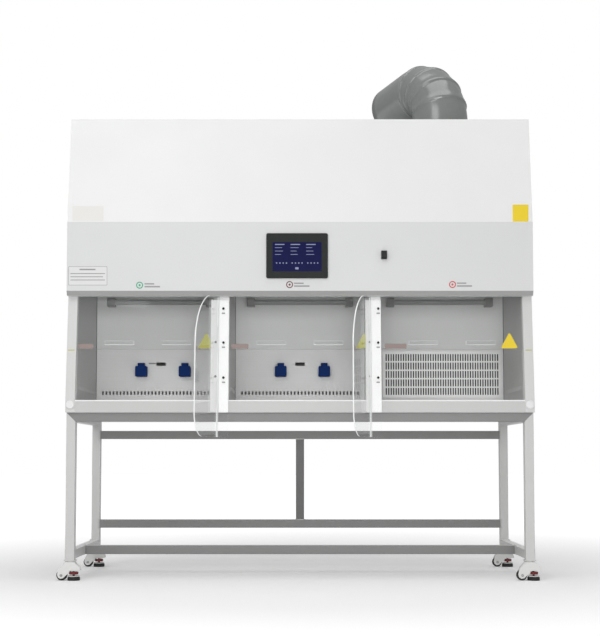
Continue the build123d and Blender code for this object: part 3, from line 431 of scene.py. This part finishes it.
def ring_prism(bm, px, py, outer, inner, node, lift, sink=0.0003, count=28):
    """Thin flat ring with pixel radii, lying on a node's surface."""
    rows = []
    for radius, rise in ((outer, lift), (inner, lift), (inner, -sink), (outer, -sink)):
        row = []
        for i in range(count):
            turn = 2 * math.pi * i / count
            x, y = px + radius * math.cos(turn), py + radius * math.sin(turn)
            point, normal = land(node, x, y)
            row.append(bm.verts.new(point + normal * rise))
        rows.append(row)
    for k in range(4):
        a, b = rows[k], rows[(k + 1) % 4]
        for i in range(count):
            j = (i + 1) % count
            bm.faces.new((a[i], a[j], b[j], b[i]))


def rounded(x0, y0, x1, y1, radius=0.0, steps=5):
    """Outline of a rectangle with rounded corners, in pixels."""
    if radius <= 0:
        return [(x0, y0), (x1, y0), (x1, y1), (x0, y1)]
    outline = []
    corners = ((x1 - radius, y0 + radius, -90), (x1 - radius, y1 - radius, 0),
               (x0 + radius, y1 - radius, 90), (x0 + radius, y0 + radius, 180))
    for cx, cy, start in corners:
        for k in range(steps + 1):
            turn = math.radians(start + 90 * k / steps)
            outline.append((cx + radius * math.cos(turn), cy + radius * math.sin(turn)))
    return outline


def disc(px, py, radius, count=14):
    """Outline of a circle, in pixels."""
    turns = (2 * math.pi * k / count for k in range(count))
    return [(px + radius * math.cos(t), py + radius * math.sin(t)) for t in turns]


def decal(name, node, outlines, ink, lift=0.0004):
    """Thin plates with pixel outlines on a node's surface, as one piece."""
    bm = bmesh.new()
    for outline in outlines:
        prism(bm, outline, node, lift)
    return finish_piece(name, bm, INK[ink], body_of(node))


def lathe(bm, base, axis, profile, count=16):
    """Turned solid: profile is (radius, height) pairs along an axis from base."""
    spin = axis.to_track_quat("Z", "Y").to_matrix()
    rows = []
    for radius, height in profile:
        row = []
        for k in range(count):
            turn = 2 * math.pi * k / count
            local = Vector((radius * math.cos(turn), radius * math.sin(turn), height))
            row.append(bm.verts.new(base + spin @ local))
        rows.append(row)
    for a, b in zip(rows, rows[1:]):
        for k in range(count):
            j = (k + 1) % count
            bm.faces.new((a[k], a[j], b[j], b[k]))
    bm.faces.new(list(reversed(rows[0])))
    bm.faces.new(rows[-1])


SCREW_PROFILE = ((0.0, 0.0), (1.0, 0.0), (1.0, 0.25), (0.82, 0.5), (0.55, 0.62), (0.5, 0.3), (0.02, 0.3))


def screws(name, places, radius, slot="zinc_steel", body="cabinet", count=12):
    """Pan-head screws with a hollow drive at (point, normal) places, as one piece."""
    bm = bmesh.new()
    for point, normal in places:
        profile = [(max(r, 0.02) * radius, h * radius) for r, h in SCREW_PROFILE]
        lathe(bm, point, normal, profile, count)
    return finish_piece(name, bm, M[slot], body)


# ------------------------------------------------------------- labels and marks


def ring_mark(name, px, py, ink, bars, radius=3.5):
    """A plain ring with rows of plain bars beside it, on the control panel."""
    bm = bmesh.new()
    ring_prism(bm, px, py, radius, radius - 1.0, "control_panel", 0.0004)
    prism(bm, disc(px, py, 1.1), "control_panel", 0.0004)
    finish_piece(f"{name}_ring", bm, INK[ink], "cabinet")
    start, end = bars
    rows = [rounded(start, py - 2.0, start + (end - start) * 0.62, py - 0.7),
            rounded(start, py + 0.8, end, py + 2.2)]
    decal(f"{name}_bars", "control_panel", rows, "grey")


# (name, ring px, ring py, ink, span of the bars) on the control panel.
RING_MARKS_PX = (
    ("green_mark", 139.6, 285.2, "green", (144.5, 160)),
    ("dark_mark", 289.6, 284.6, "dark_red", (294, 309.5)),
    ("red_mark", 452.5, 284.5, "red", (457, 472)),
)
DATA_PLATE_PX = (68.4, 266.4, 107.2, 285.3)
DATA_PLATE_FACE_PX = (68.8, 266.8, 106.8, 284.9)
DATA_HEADING_PX = (79.5, 268.8, 95.5, 270.2)
DATA_ROWS_PX = (273.2, 276.4, 279.6)
DATA_ROW_SPAN_PX = (70.5, 105.0)
PALE_PLATE_PX = (72.5, 206.0, 103.6, 220.8)
PORT_MARK_PX = (148.8, 362.8, 156.0, 364.2)
YELLOW_PLATE_PX = (512.6, 204.6, 528.4, 221.6)


def make_labels():
    """Blank plates, plain rings and plain bars in the places of the labels."""
    for name, px, py, ink, bars in RING_MARKS_PX:
        ring_mark(name, px, py, ink, bars)
    decal("data_plate_border", "control_panel", [rounded(*DATA_PLATE_PX, 0.8)], "grey", 0.0002)
    decal("data_plate", "control_panel", [rounded(*DATA_PLATE_FACE_PX, 0.6)], "white")
    start, end = DATA_ROW_SPAN_PX
    lines = [rounded(start, y, end - 2.0 * (k % 2), y + 0.8) for k, y in enumerate(DATA_ROWS_PX)]
    lines.append(rounded(*DATA_HEADING_PX))
    decal("data_plate_bars", "control_panel", lines, "grey", 0.0006)
    decal("pale_plate", "upper_front_panel", [rounded(*PALE_PLATE_PX, 0.8)], "pale")
    decal("port_mark", "rear_walls", [rounded(*PORT_MARK_PX)], "grey")
    decal("yellow_plate", "upper_front_panel", [rounded(*YELLOW_PLATE_PX, 1.0)], "yellow")


FIGURE_STEP_PX = 15.6
DASH_LEFT_PX = 275.0
DASH_TOP_PX = 244.0
DASH_STEP_PX = 3.4
DOT_LEFT_PX = 276.6
DOT_STEP_PX = 3.3
DOT_ROW_PX = 263.0
ICON_PX = (295.2, 267.2, 298.6, 269.4)


def make_screen():
    """Plain figures of the touch panel: three columns of dashes, dots and icons."""
    dashes = []
    for column in range(3):
        left = DASH_LEFT_PX + FIGURE_STEP_PX * column
        for row in range(4):
            width = 9.5 if row == 0 else 6.0 + (row + column) % 3
            y = DASH_TOP_PX + DASH_STEP_PX * row
            dashes.append(rounded(left, y, left + width, y + (0.9 if row == 0 else 0.5)))
    dots = []
    for group in range(3):
        for k in range(4):
            dots.append(disc(DOT_LEFT_PX + FIGURE_STEP_PX * group + DOT_STEP_PX * k, DOT_ROW_PX, 0.7, 10))
    dots.append(rounded(*ICON_PX, 0.6))
    decal("screen_figures", "touch_panel_screen", dashes + dots, "figures", 0.0003)


COLUMN_SCREW = 0.0055
COLUMN_SCREW_PX = {"left": 223.4, "right": 378.2}
COLUMN_SCREW_ROWS_PX = (308.6, 342.6, 377.6)


def make_column_fasteners():
    """Screws of the column flanges with their small marks."""
    for side, px in COLUMN_SCREW_PX.items():
        places, marks = [], []
        for py in COLUMN_SCREW_ROWS_PX:
            places.append(land("wing_flanges", px, py))
            marks.append(rounded(px - 1.6, py + 4.0, px + 1.6, py + 5.2))
        screws(f"column_screws_{side}", places, COLUMN_SCREW, "black_plastic")
        decal(f"column_marks_{side}", "wing_flanges", marks, "grey", 0.0004)


def triangle(px, top, width, height, cut=1.2):
    """Outline of a triangle with cut corners, in pixels."""
    half = width / 2
    return [(px - cut / 2, top), (px + cut / 2, top), (px + half, top + height - cut),
            (px + half - cut, top + height), (px - half + cut, top + height),
            (px - half, top + height - cut)]


POST_MARKS_PX = {"left": (68.0, 349.7, 74.6, 350.5), "right": (525.4, 349.7, 532.0, 350.5)}


def make_post_marks():
    """Thin marks across the posts at the sashes' working height."""
    for side, span in POST_MARKS_PX.items():
        decal(f"post_mark_{side}", f"cheek_{side}", [rounded(*span)], "olive")


GLASS_PLATES = {"left": (78.4, 93.0), "centre": (231.4, 248.4), "right": (384.8, 406.4)}
GLASS_TRIANGLES = {"left": (198.4, 214.4), "centre": (356.4, 372.4), "right": (501.2, 517.6)}
GLASS_PLATE_ROWS = (343.8, 348.6)
TRIANGLE_TOP = 333.4
TRIANGLE_HEIGHT = 15.0


def make_sash_plates():
    """Plain translucent plates and plain triangles on the sash glasses."""
    for side in SIDES:
        glass = f"sash_glass_{side}"
        left, right = GLASS_PLATES[side]
        top, bottom = GLASS_PLATE_ROWS
        decal(f"sash_plate_{side}", glass, [rounded(left, top, right, bottom, 0.6)],
              "pink", 0.0003)
        left, right = GLASS_TRIANGLES[side]
        sign = triangle((left + right) / 2, TRIANGLE_TOP, right - left, TRIANGLE_HEIGHT)
        ink = "yellow" if side == "right" else "olive"
        decal(f"sash_sign_{side}", glass, [sign], ink, 0.0003)


# ------------------------------------------------- trims, seams and grille backing

TRIM_SPANS = {"left": (-0.394, -0.3582), "right": (0.290, 0.3148)}
TRIM_SCREW_X = {"left": -0.3725, "right": 0.3085}
TRIM_SCREW_HEIGHTS = (1.046, 0.893)
TRIM_SCREW = 0.0050
TRIM_DEPTH = 0.0015
# (y, z) of the front of the columns at its foot, its bend and its head.
COLUMN_FRONT = ((-0.231, 0.736), (-0.231, 0.789), (-0.188, 1.236))
SEAM = 0.0030
SEAM_GAP = 0.0002
SEAM_FOOT = 0.055
SEAM_HEAD = 0.004


def box_of(bm, low, high):
    """Closed block between two corners."""
    spots = [Vector((x, y, z)) for z in (low[2], high[2])
             for x, y in ((low[0], low[1]), (high[0], low[1]), (high[0], high[1]), (low[0], high[1]))]
    v = [bm.verts.new(spot) for spot in spots]
    for face in ((0, 1, 2, 3), (4, 5, 6, 7), (0, 1, 5, 4), (1, 2, 6, 5), (2, 3, 7, 6), (3, 0, 4, 7)):
        bm.faces.new([v[k] for k in face])


def make_column_trims():
    """Pale trims beside the columns, in the plane of their front, with small screws."""
    _, mid, top = COLUMN_FRONT
    slope = (top[0] - mid[0]) / (top[1] - mid[1])
    normal = Vector((0, -1, slope)).normalized()
    for side, (left, right) in TRIM_SPANS.items():
        bm = bmesh.new()
        rows = []
        for y, z in COLUMN_FRONT:
            rows.append([bm.verts.new((x, y + back, z)) for x, back in
                         ((left, 0), (right, 0), (right, TRIM_DEPTH), (left, TRIM_DEPTH))])
        for a, b in zip(rows, rows[1:]):
            for k in range(4):
                j = (k + 1) % 4
                bm.faces.new((a[k], a[j], b[j], b[k]))
        bm.faces.new(rows[0])
        bm.faces.new(rows[-1])
        finish_piece(f"column_trim_{side}", bm, M["white_cast"], "cabinet")
        x = TRIM_SCREW_X[side]
        places = [(Vector((x, mid[0] + slope * (z - mid[1]), z)), normal) for z in TRIM_SCREW_HEIGHTS]
        screws(f"trim_screws_{side}", places, TRIM_SCREW, "black_plastic")


def make_corner_seams():
    """Near-black strips in the upright corners between the rear wall and the sides."""
    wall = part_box("rear_walls")
    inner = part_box("divider_left")[1][0]
    bm = bmesh.new()
    for x, inward in ((wall[0][0], 1), (inner, 1), (-inner, -1), (wall[1][0], -1)):
        edges = sorted((x + inward * SEAM_GAP, x + inward * SEAM))
        low = (edges[0], wall[0][1] - SEAM, wall[0][2] + SEAM_FOOT)
        high = (edges[1], wall[0][1] - SEAM_GAP, wall[1][2] - SEAM_HEAD)
        box_of(bm, low, high)
    finish_piece("corner_seams", bm, INK["backing"], "cabinet")


def make_grille_shade_backing():
    """Dark ribbed sheet on the back of the wall behind the return grille: painted shade seen through its
    slots.
    """
    low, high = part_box("return_grille")
    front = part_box("rear_walls")[1][1] + BACKING_GAP
    fold, back = front + BACKING_DEPTH / 2, front + BACKING_DEPTH
    bm = bmesh.new()
    rows = []
    for k in range(BACKING_FOLDS + 1):
        x = low[0] + BACKING_INSET + (high[0] - low[0] - 2 * BACKING_INSET) * k / BACKING_FOLDS
        y = front if k % 2 else fold
        rows.append([bm.verts.new((x, y, z)) for z in (low[2] + BACKING_INSET, high[2] - BACKING_INSET)]
                    + [bm.verts.new((x, back, z)) for z in (high[2] - BACKING_INSET, low[2] + BACKING_INSET)])
    for a, b in zip(rows, rows[1:]):
        for k in range(4):
            j = (k + 1) % 4
            bm.faces.new((a[k], a[j], b[j], b[k]))
    bm.faces.new(rows[0])
    bm.faces.new(rows[-1])
    finish_piece("grille_shade_backing", bm, INK["backing"], "cabinet")


# --------------------------------------------------------------- exhaust and roof

DUCT_RADIUS = 0.124
DUCT_WALL = 0.004
DUCT_FOLD = 0.0060
DUCT_BEND = 0.204
DUCT_ANGLE = 95.0
DUCT_SWING = math.radians(65.0)
DUCT_RUN = 0.229
FOLD_START = 20.0
FOLD_PITCH = 20.0
FOLD_COUNT = 4
DUCT_SIDES = 64
BEND_STEPS = 190
PANEL_SCREW = 0.0045


def fold_swell(angle):
    """How far the duct's skin stands out at an angle of its bend: soft lapped folds."""
    swell = 0.0
    for k in range(FOLD_COUNT):
        away = angle - (FOLD_START + FOLD_PITCH * k)
        width = 1.3 if away < 0 else 4.2
        swell = max(swell, math.exp(-((away / width) ** 2)))
    return DUCT_FOLD * swell


def duct_rows():
    """(centre, across, radius) of rings along the duct, from its foot to its mouth."""
    low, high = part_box("exhaust_collar")
    foot = Vector(((low[0] + high[0]) / 2, (low[1] + high[1]) / 2, 0))
    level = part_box("exhaust_duct")[0][2]
    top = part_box("roof_panel")[1][2] + DUCT_RISE
    outward = Vector((-math.cos(DUCT_SWING), math.sin(DUCT_SWING), 0))
    rows = []
    for k in range(5):
        height = level + (top - level) * k / 5
        rows.append((foot + Vector((0, 0, height)), outward, DUCT_RADIUS))
    for k in range(BEND_STEPS + 1):
        angle = DUCT_ANGLE * k / BEND_STEPS
        turn = math.radians(angle)
        centre = foot + outward * DUCT_BEND * (1 - math.cos(turn))
        centre.z = top + DUCT_BEND * math.sin(turn)
        across = outward * math.cos(turn) - Vector((0, 0, 1)) * math.sin(turn)
        rows.append((centre, across, DUCT_RADIUS + fold_swell(angle)))
    bend_end, bend_across, _ = rows[-1]
    turn = math.radians(DUCT_ANGLE)
    ahead = outward * math.sin(turn) + Vector((0, 0, 1)) * math.cos(turn)
    for k in range(1, 6):
        rows.append((bend_end + ahead * DUCT_RUN * k / 5, bend_across, DUCT_RADIUS))
    return rows


def make_duct():
    bm = bmesh.new()
    side = Vector((math.sin(DUCT_SWING), math.cos(DUCT_SWING), 0))
    rows = duct_rows()
    rings = []
    for shrink, course in ((0.0, rows), (DUCT_WALL, rows[::-1])):
        for centre, across, radius in course:
            inside = (radius if shrink == 0 else DUCT_RADIUS) - shrink
            ring = []
            for k in range(DUCT_SIDES):
                turn = 2 * math.pi * k / DUCT_SIDES
                ring.append(bm.verts.new(
                    centre + (across * math.cos(turn) + side * math.sin(turn)) * inside))
            rings.append(ring)
    for a, b in zip(rings, rings[1:] + rings[:1]):
        for k in range(DUCT_SIDES):
            j = (k + 1) % DUCT_SIDES
            bm.faces.new((a[k], a[j], b[j], b[k]))
    duct = finish_piece("ribbed_duct", bm, M["duct_plastic"], "cabinet", True)
    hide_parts("exhaust_duct")


def hoop(bm, centre, inner, outer, low, high, count=64):
    """Upright ring of rectangular section round a centre."""
    corners = ((inner, low), (outer, low), (outer, high), (inner, high))
    rings = []
    for radius, height in corners:
        turns = (2 * math.pi * k / count for k in range(count))
        rings.append([bm.verts.new((centre[0] + radius * math.cos(t),
                                    centre[1] + radius * math.sin(t), height)) for t in turns])
    for a, b in zip(rings, rings[1:] + rings[:1]):
        for k in range(count):
            j = (k + 1) % count
            bm.faces.new((a[k], a[j], b[j], b[k]))


def make_clamp():
    """Band that holds the duct on its collar, with its worm screw."""
    low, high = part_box("exhaust_collar")
    centre = ((low[0] + high[0]) / 2, (low[1] + high[1]) / 2)
    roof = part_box("roof_panel")[1][2]
    bm = bmesh.new()
    inner = DUCT_RADIUS + 0.0002
    hoop(bm, centre, inner, inner + 0.0014, high[2] - 0.014, high[2] - 0.002)
    head = Vector((centre[0] + 0.02, centre[1] - inner - 0.004, high[2] - 0.008))
    lathe(bm, head, Vector((-1, 0, 0)), ((0.0042, 0), (0.0042, 0.024), (0.003, 0.026)), 14)
    lathe(bm, head, Vector((1, 0, 0)), ((0.0055, 0), (0.0055, 0.006), (0.0045, 0.008)), 6)
    finish_piece("duct_clamp", bm, M["zinc_steel"], "cabinet")


def edge_screws():
    """Screws round the edges of the rear panel and of the roof."""
    low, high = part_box("rear_panel")
    places = []
    for k in range(9):
        x = low[0] + SCREW_INSET + (high[0] - low[0] - 2 * SCREW_INSET) * k / 8
        for z in (low[2] + SCREW_INSET, high[2] - SCREW_INSET):
            places.append((Vector((x, high[1], z)), Vector((0, 1, 0))))
    for k in range(1, 6):
        z = low[2] + SCREW_INSET + (high[2] - low[2] - 2 * SCREW_INSET) * k / 6
        for x in (low[0] + SCREW_INSET, high[0] - SCREW_INSET):
            places.append((Vector((x, high[1], z)), Vector((0, 1, 0))))
    screws("rear_screws", places, PANEL_SCREW)
    low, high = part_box("roof_panel")
    places = []
    for k in range(7):
        x = low[0] + SCREW_INSET + (high[0] - low[0] - 2 * SCREW_INSET) * k / 6
        for y in (low[1] + SCREW_INSET, high[1] - SCREW_INSET):
            places.append((Vector((x, y, high[2])), Vector((0, 0, 1))))
    screws("roof_screws", places, PANEL_SCREW)


# ---------------------------------------------------------------------- the stand

TUBE = 0.040
BEAD = 0.0022
LEG_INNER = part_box("stand_legs")[1][0] - TUBE


def bead_loop(bm, centre, across, up):
    """Rippled weld bead round the end of a square tube."""
    half = TUBE / 2
    corners = [centre + across * half * i + up * half * j for i, j in ((-1, -1), (1, -1), (1, 1), (-1, 1))]
    normal = across.cross(up).normalized()
    for start, end in zip(corners, corners[1:] + corners[:1]):
        along = end - start
        out = along.normalized().cross(normal)
        steps = 14
        rings = []
        for k in range(steps + 1):
            size = BEAD * (1.0 + 0.18 * math.cos(math.pi * k))
            point = start + along * k / steps
            ring = []
            for m in range(8):
                turn = 2 * math.pi * m / 8
                ring.append(bm.verts.new(point + (out * math.cos(turn) + normal * math.sin(turn)) * size))
            rings.append(ring)
        for a, b in zip(rings, rings[1:]):
            for m in range(8):
                j = (m + 1) % 8
                bm.faces.new((a[m], a[j], b[j], b[m]))
        bm.faces.new(list(reversed(rings[0])))
        bm.faces.new(rings[-1])


def make_weld_beads():
    """Weld beads where the stand's tubes meet."""
    x_axis, y_axis, z_axis = Vector((1, 0, 0)), Vector((0, 1, 0)), Vector((0, 0, 1))
    legs_low, legs_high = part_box("stand_legs")
    rails_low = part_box("stand_side_rails")[0]
    post_low, post_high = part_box("stand_centre_post")
    rear = legs_high[1] - TUBE / 2
    front = legs_low[1] + TUBE / 2
    low_beam = FRONT_Y + LOWER_BEAM_DEPTH + TUBE / 2
    rail = rails_low[2] + TUBE / 2
    joints = []
    for side in (-1, 1):
        face = side * LEG_INNER
        for y, z in ((rear, post_high[2] + TUBE / 2), (rear, post_low[2] - TUBE / 2), (low_beam, rail)):
            joints.append((Vector((face, y, z)), y_axis, z_axis))
        middle = side * (LEG_INNER + TUBE / 2)
        joints.append((Vector((middle, front + TUBE / 2, rail)), x_axis, z_axis))
        joints.append((Vector((middle, rear - TUBE / 2, rail)), x_axis, z_axis))
    for z in (post_low[2], post_high[2]):
        joints.append((Vector((0, rear, z)), x_axis, y_axis))
    bm = bmesh.new()
    for centre, across, up in joints:
        bead_loop(bm, centre, across, up)
    # The beads wear the side rails' paint: painted light on top, painted shade elsewhere.
    finish_piece("weld_beads", bm, OWN["stand_side_rails"], "cabinet", True)


# -------------------------------------------------------------- levelling casters

COVER_OUTLINE = (
    (-0.050, 0.046), (-0.044, 0.056), (-0.030, 0.066), (-0.020, 0.080), (0.020, 0.080),
    (0.028, 0.072), (0.040, 0.062), (0.046, 0.052), (0.046, 0.043), (0.001, 0.043),
    (-0.002, 0.030), (-0.010, 0.027), (-0.018, 0.020), (-0.028, 0.010), (-0.040, 0.008), (-0.050, 0.014),
    (-0.054, 0.026),
)
COVER_OUT = 0.0195
COVER_IN = 0.0160
WHEEL_OFFSET = -0.036
PAD_OFFSET = 0.016


def make_casters():
    """Moulded side covers, axle bolts and pad cups of the levelling casters."""
    for corner in CORNERS:
        low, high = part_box(f"caster_pad_{corner}")
        pad_x, y = (low[0] + high[0]) / 2, (low[1] + high[1]) / 2
        x = pad_x - PAD_OFFSET
        bm = bmesh.new()
        for side in (-1, 1):
            faces = []
            for reach in (COVER_IN, COVER_OUT):
                faces.append([bm.verts.new((x + a, y + side * reach, b)) for a, b in COVER_OUTLINE])
            inner, outer = faces
            bm.faces.new(inner)
            bm.faces.new(list(reversed(outer)))
            count = len(inner)
            for k in range(count):
                j = (k + 1) % count
                bm.faces.new((inner[k], outer[k], outer[j], inner[j]))
        cover = finish_piece(f"caster_cover_{corner}", bm, M["white_cast"],
                             body_of(f"caster_body_{corner}"))
        bevel = cover.modifiers.new("edge", "BEVEL")
        bevel.width, bevel.segments, bevel.limit_method = 0.0012, 2, "ANGLE"
        places = [(Vector((x + WHEEL_OFFSET, y + side * COVER_OUT, WHEEL_HEIGHT)), Vector((0, side, 0)))
                  for side in (-1, 1)]
        screws(f"axle_bolts_{corner}", places, 0.0065, "zinc_steel", body_of(f"caster_body_{corner}"), 6)
        bm = bmesh.new()
        hoop(bm, (pad_x, y), 0.0185, CUP_RADIUS, PAD_TOP + 0.0002, PAD_TOP + 0.0030, 40)
        finish_piece(f"pad_cup_{corner}", bm, M["white_cast"],
                     body_of(f"caster_pad_{corner}"))


make_labels()
make_column_trims()
make_corner_seams()
make_screen()
make_grille_shade_backing()
make_column_fasteners()
make_sash_plates()
make_post_marks()
make_duct()
make_clamp()
edge_screws()
make_weld_beads()
make_casters()

# ---------------------------------------------------------------- stage and light

FLOOR_HALF = 30.0
FLOOR_GLOW = 0.13
SKY_LEVEL = 0.47
FLOOR_TONE = 0.92
FADE_NEAR = 1.2
FADE_FAR = 4.0
FAR_GLOW = 0.6
# (name, place, target, size, watts)
LIGHTS = (
    ("key", (-2.5, -5.0, 4.5), (0, 0, 1.2), (3.0, 3.0), 95),
    ("fill", (0.3, -6.5, 1.1), (0, 0, 1.1), (3.0, 1.6), 100),
    ("top", (0.4, -0.4, 5.0), (0.4, -0.4, 0), (3.2, 2.2), 45),
)


def make_floor():
    """Pale floor that fades to white away from the object, and keeps its shadow."""
    mesh = bpy.data.meshes.new("floor")
    corners = [(-FLOOR_HALF, -FLOOR_HALF, 0), (FLOOR_HALF, -FLOOR_HALF, 0),
               (FLOOR_HALF, FLOOR_HALF, 0), (-FLOOR_HALF, FLOOR_HALF, 0)]
    mesh.from_pydata(corners, [], [(0, 1, 2, 3)])
    floor = bpy.data.objects.new("floor", mesh)
    bpy.context.collection.objects.link(floor)
    n = Nodes("floor_white")
    n.shader.inputs["Base Color"].default_value = (FLOOR_TONE, FLOOR_TONE, FLOOR_TONE, 1)
    n.shader.inputs["Roughness"].default_value = 0.9
    distance = n.add("ShaderNodeVectorMath", operation="LENGTH")
    n.link(n.coords(), distance.inputs[0])
    fade = n.add("ShaderNodeMapRange")
    fade.inputs["From Min"].default_value = FADE_NEAR
    fade.inputs["From Max"].default_value = FADE_FAR
    fade.inputs["To Min"].default_value = FLOOR_GLOW
    fade.inputs["To Max"].default_value = FAR_GLOW
    n.link(distance.outputs["Value"], fade.inputs["Value"])
    path = n.add("ShaderNodeLightPath")
    seen = n.math("MAXIMUM", path.outputs["Is Camera Ray"], path.outputs["Is Glossy Ray"])
    seen = n.math("MAXIMUM", seen, path.outputs["Is Transmission Ray"])
    glow = n.add("ShaderNodeEmission")
    glow.inputs["Color"].default_value = (1, 1, 1, 1)
    n.link(n.math("MULTIPLY", fade.outputs["Result"], seen), glow.inputs["Strength"])
    both = n.add("ShaderNodeAddShader")
    n.link(n.shader.outputs[0], both.inputs[0])
    n.link(glow.outputs[0], both.inputs[1])
    n.link(both.outputs[0], n.output.inputs["Surface"])
    mesh.materials.append(n.material)


def make_world():
    world = bpy.data.worlds.new("studio")
    world.use_nodes = True
    tree = world.node_tree
    background = tree.nodes["Background"]
    background.inputs["Color"].default_value = (1, 1, 1, 1)
    background.inputs["Strength"].default_value = SKY_LEVEL
    path = tree.nodes.new("ShaderNodeLightPath")
    bright = tree.nodes.new("ShaderNodeBackground")
    bright.inputs["Color"].default_value = (1, 1, 1, 1)
    bright.inputs["Strength"].default_value = 1.0
    seen = tree.nodes.new("ShaderNodeMath")
    seen.operation = "MAXIMUM"
    tree.links.new(path.outputs["Is Camera Ray"], seen.inputs[0])
    tree.links.new(path.outputs["Is Transmission Ray"], seen.inputs[1])
    mix = tree.nodes.new("ShaderNodeMixShader")
    tree.links.new(seen.outputs[0], mix.inputs["Fac"])
    tree.links.new(background.outputs[0], mix.inputs[1])
    tree.links.new(bright.outputs[0], mix.inputs[2])
    tree.links.new(mix.outputs[0], tree.nodes["World Output"].inputs["Surface"])
    bpy.context.scene.world = world


def area_light(name, place, target, size, power):
    light = bpy.data.lights.new(name, "AREA")
    light.shape = "RECTANGLE"
    light.size, light.size_y = size
    light.energy = power
    lamp = bpy.data.objects.new(name, light)
    lamp.location = place
    lamp.rotation_euler = (Vector(target) - Vector(place)).to_track_quat("-Z", "Y").to_euler()
    bpy.context.collection.objects.link(lamp)


def make_camera():
    data = bpy.data.cameras.new("camera")
    data.sensor_width = SENSOR_MM
    data.lens = FOCAL_PX * SENSOR_MM / FRAME_PX
    data.shift_y = (AXIS_PX - CENTER_PX) / FRAME_PX
    data.clip_end = 200
    camera = bpy.data.objects.new("camera", data)
    camera.location = EYE
    camera.rotation_euler = (math.pi / 2 + CAMERA_PITCH, 0, 0)
    bpy.context.collection.objects.link(camera)
    bpy.context.scene.camera = camera


make_floor()
make_world()
for light_settings in LIGHTS:
    area_light(*light_settings)
make_camera()
bpy.context.scene.view_settings.view_transform = "Standard"
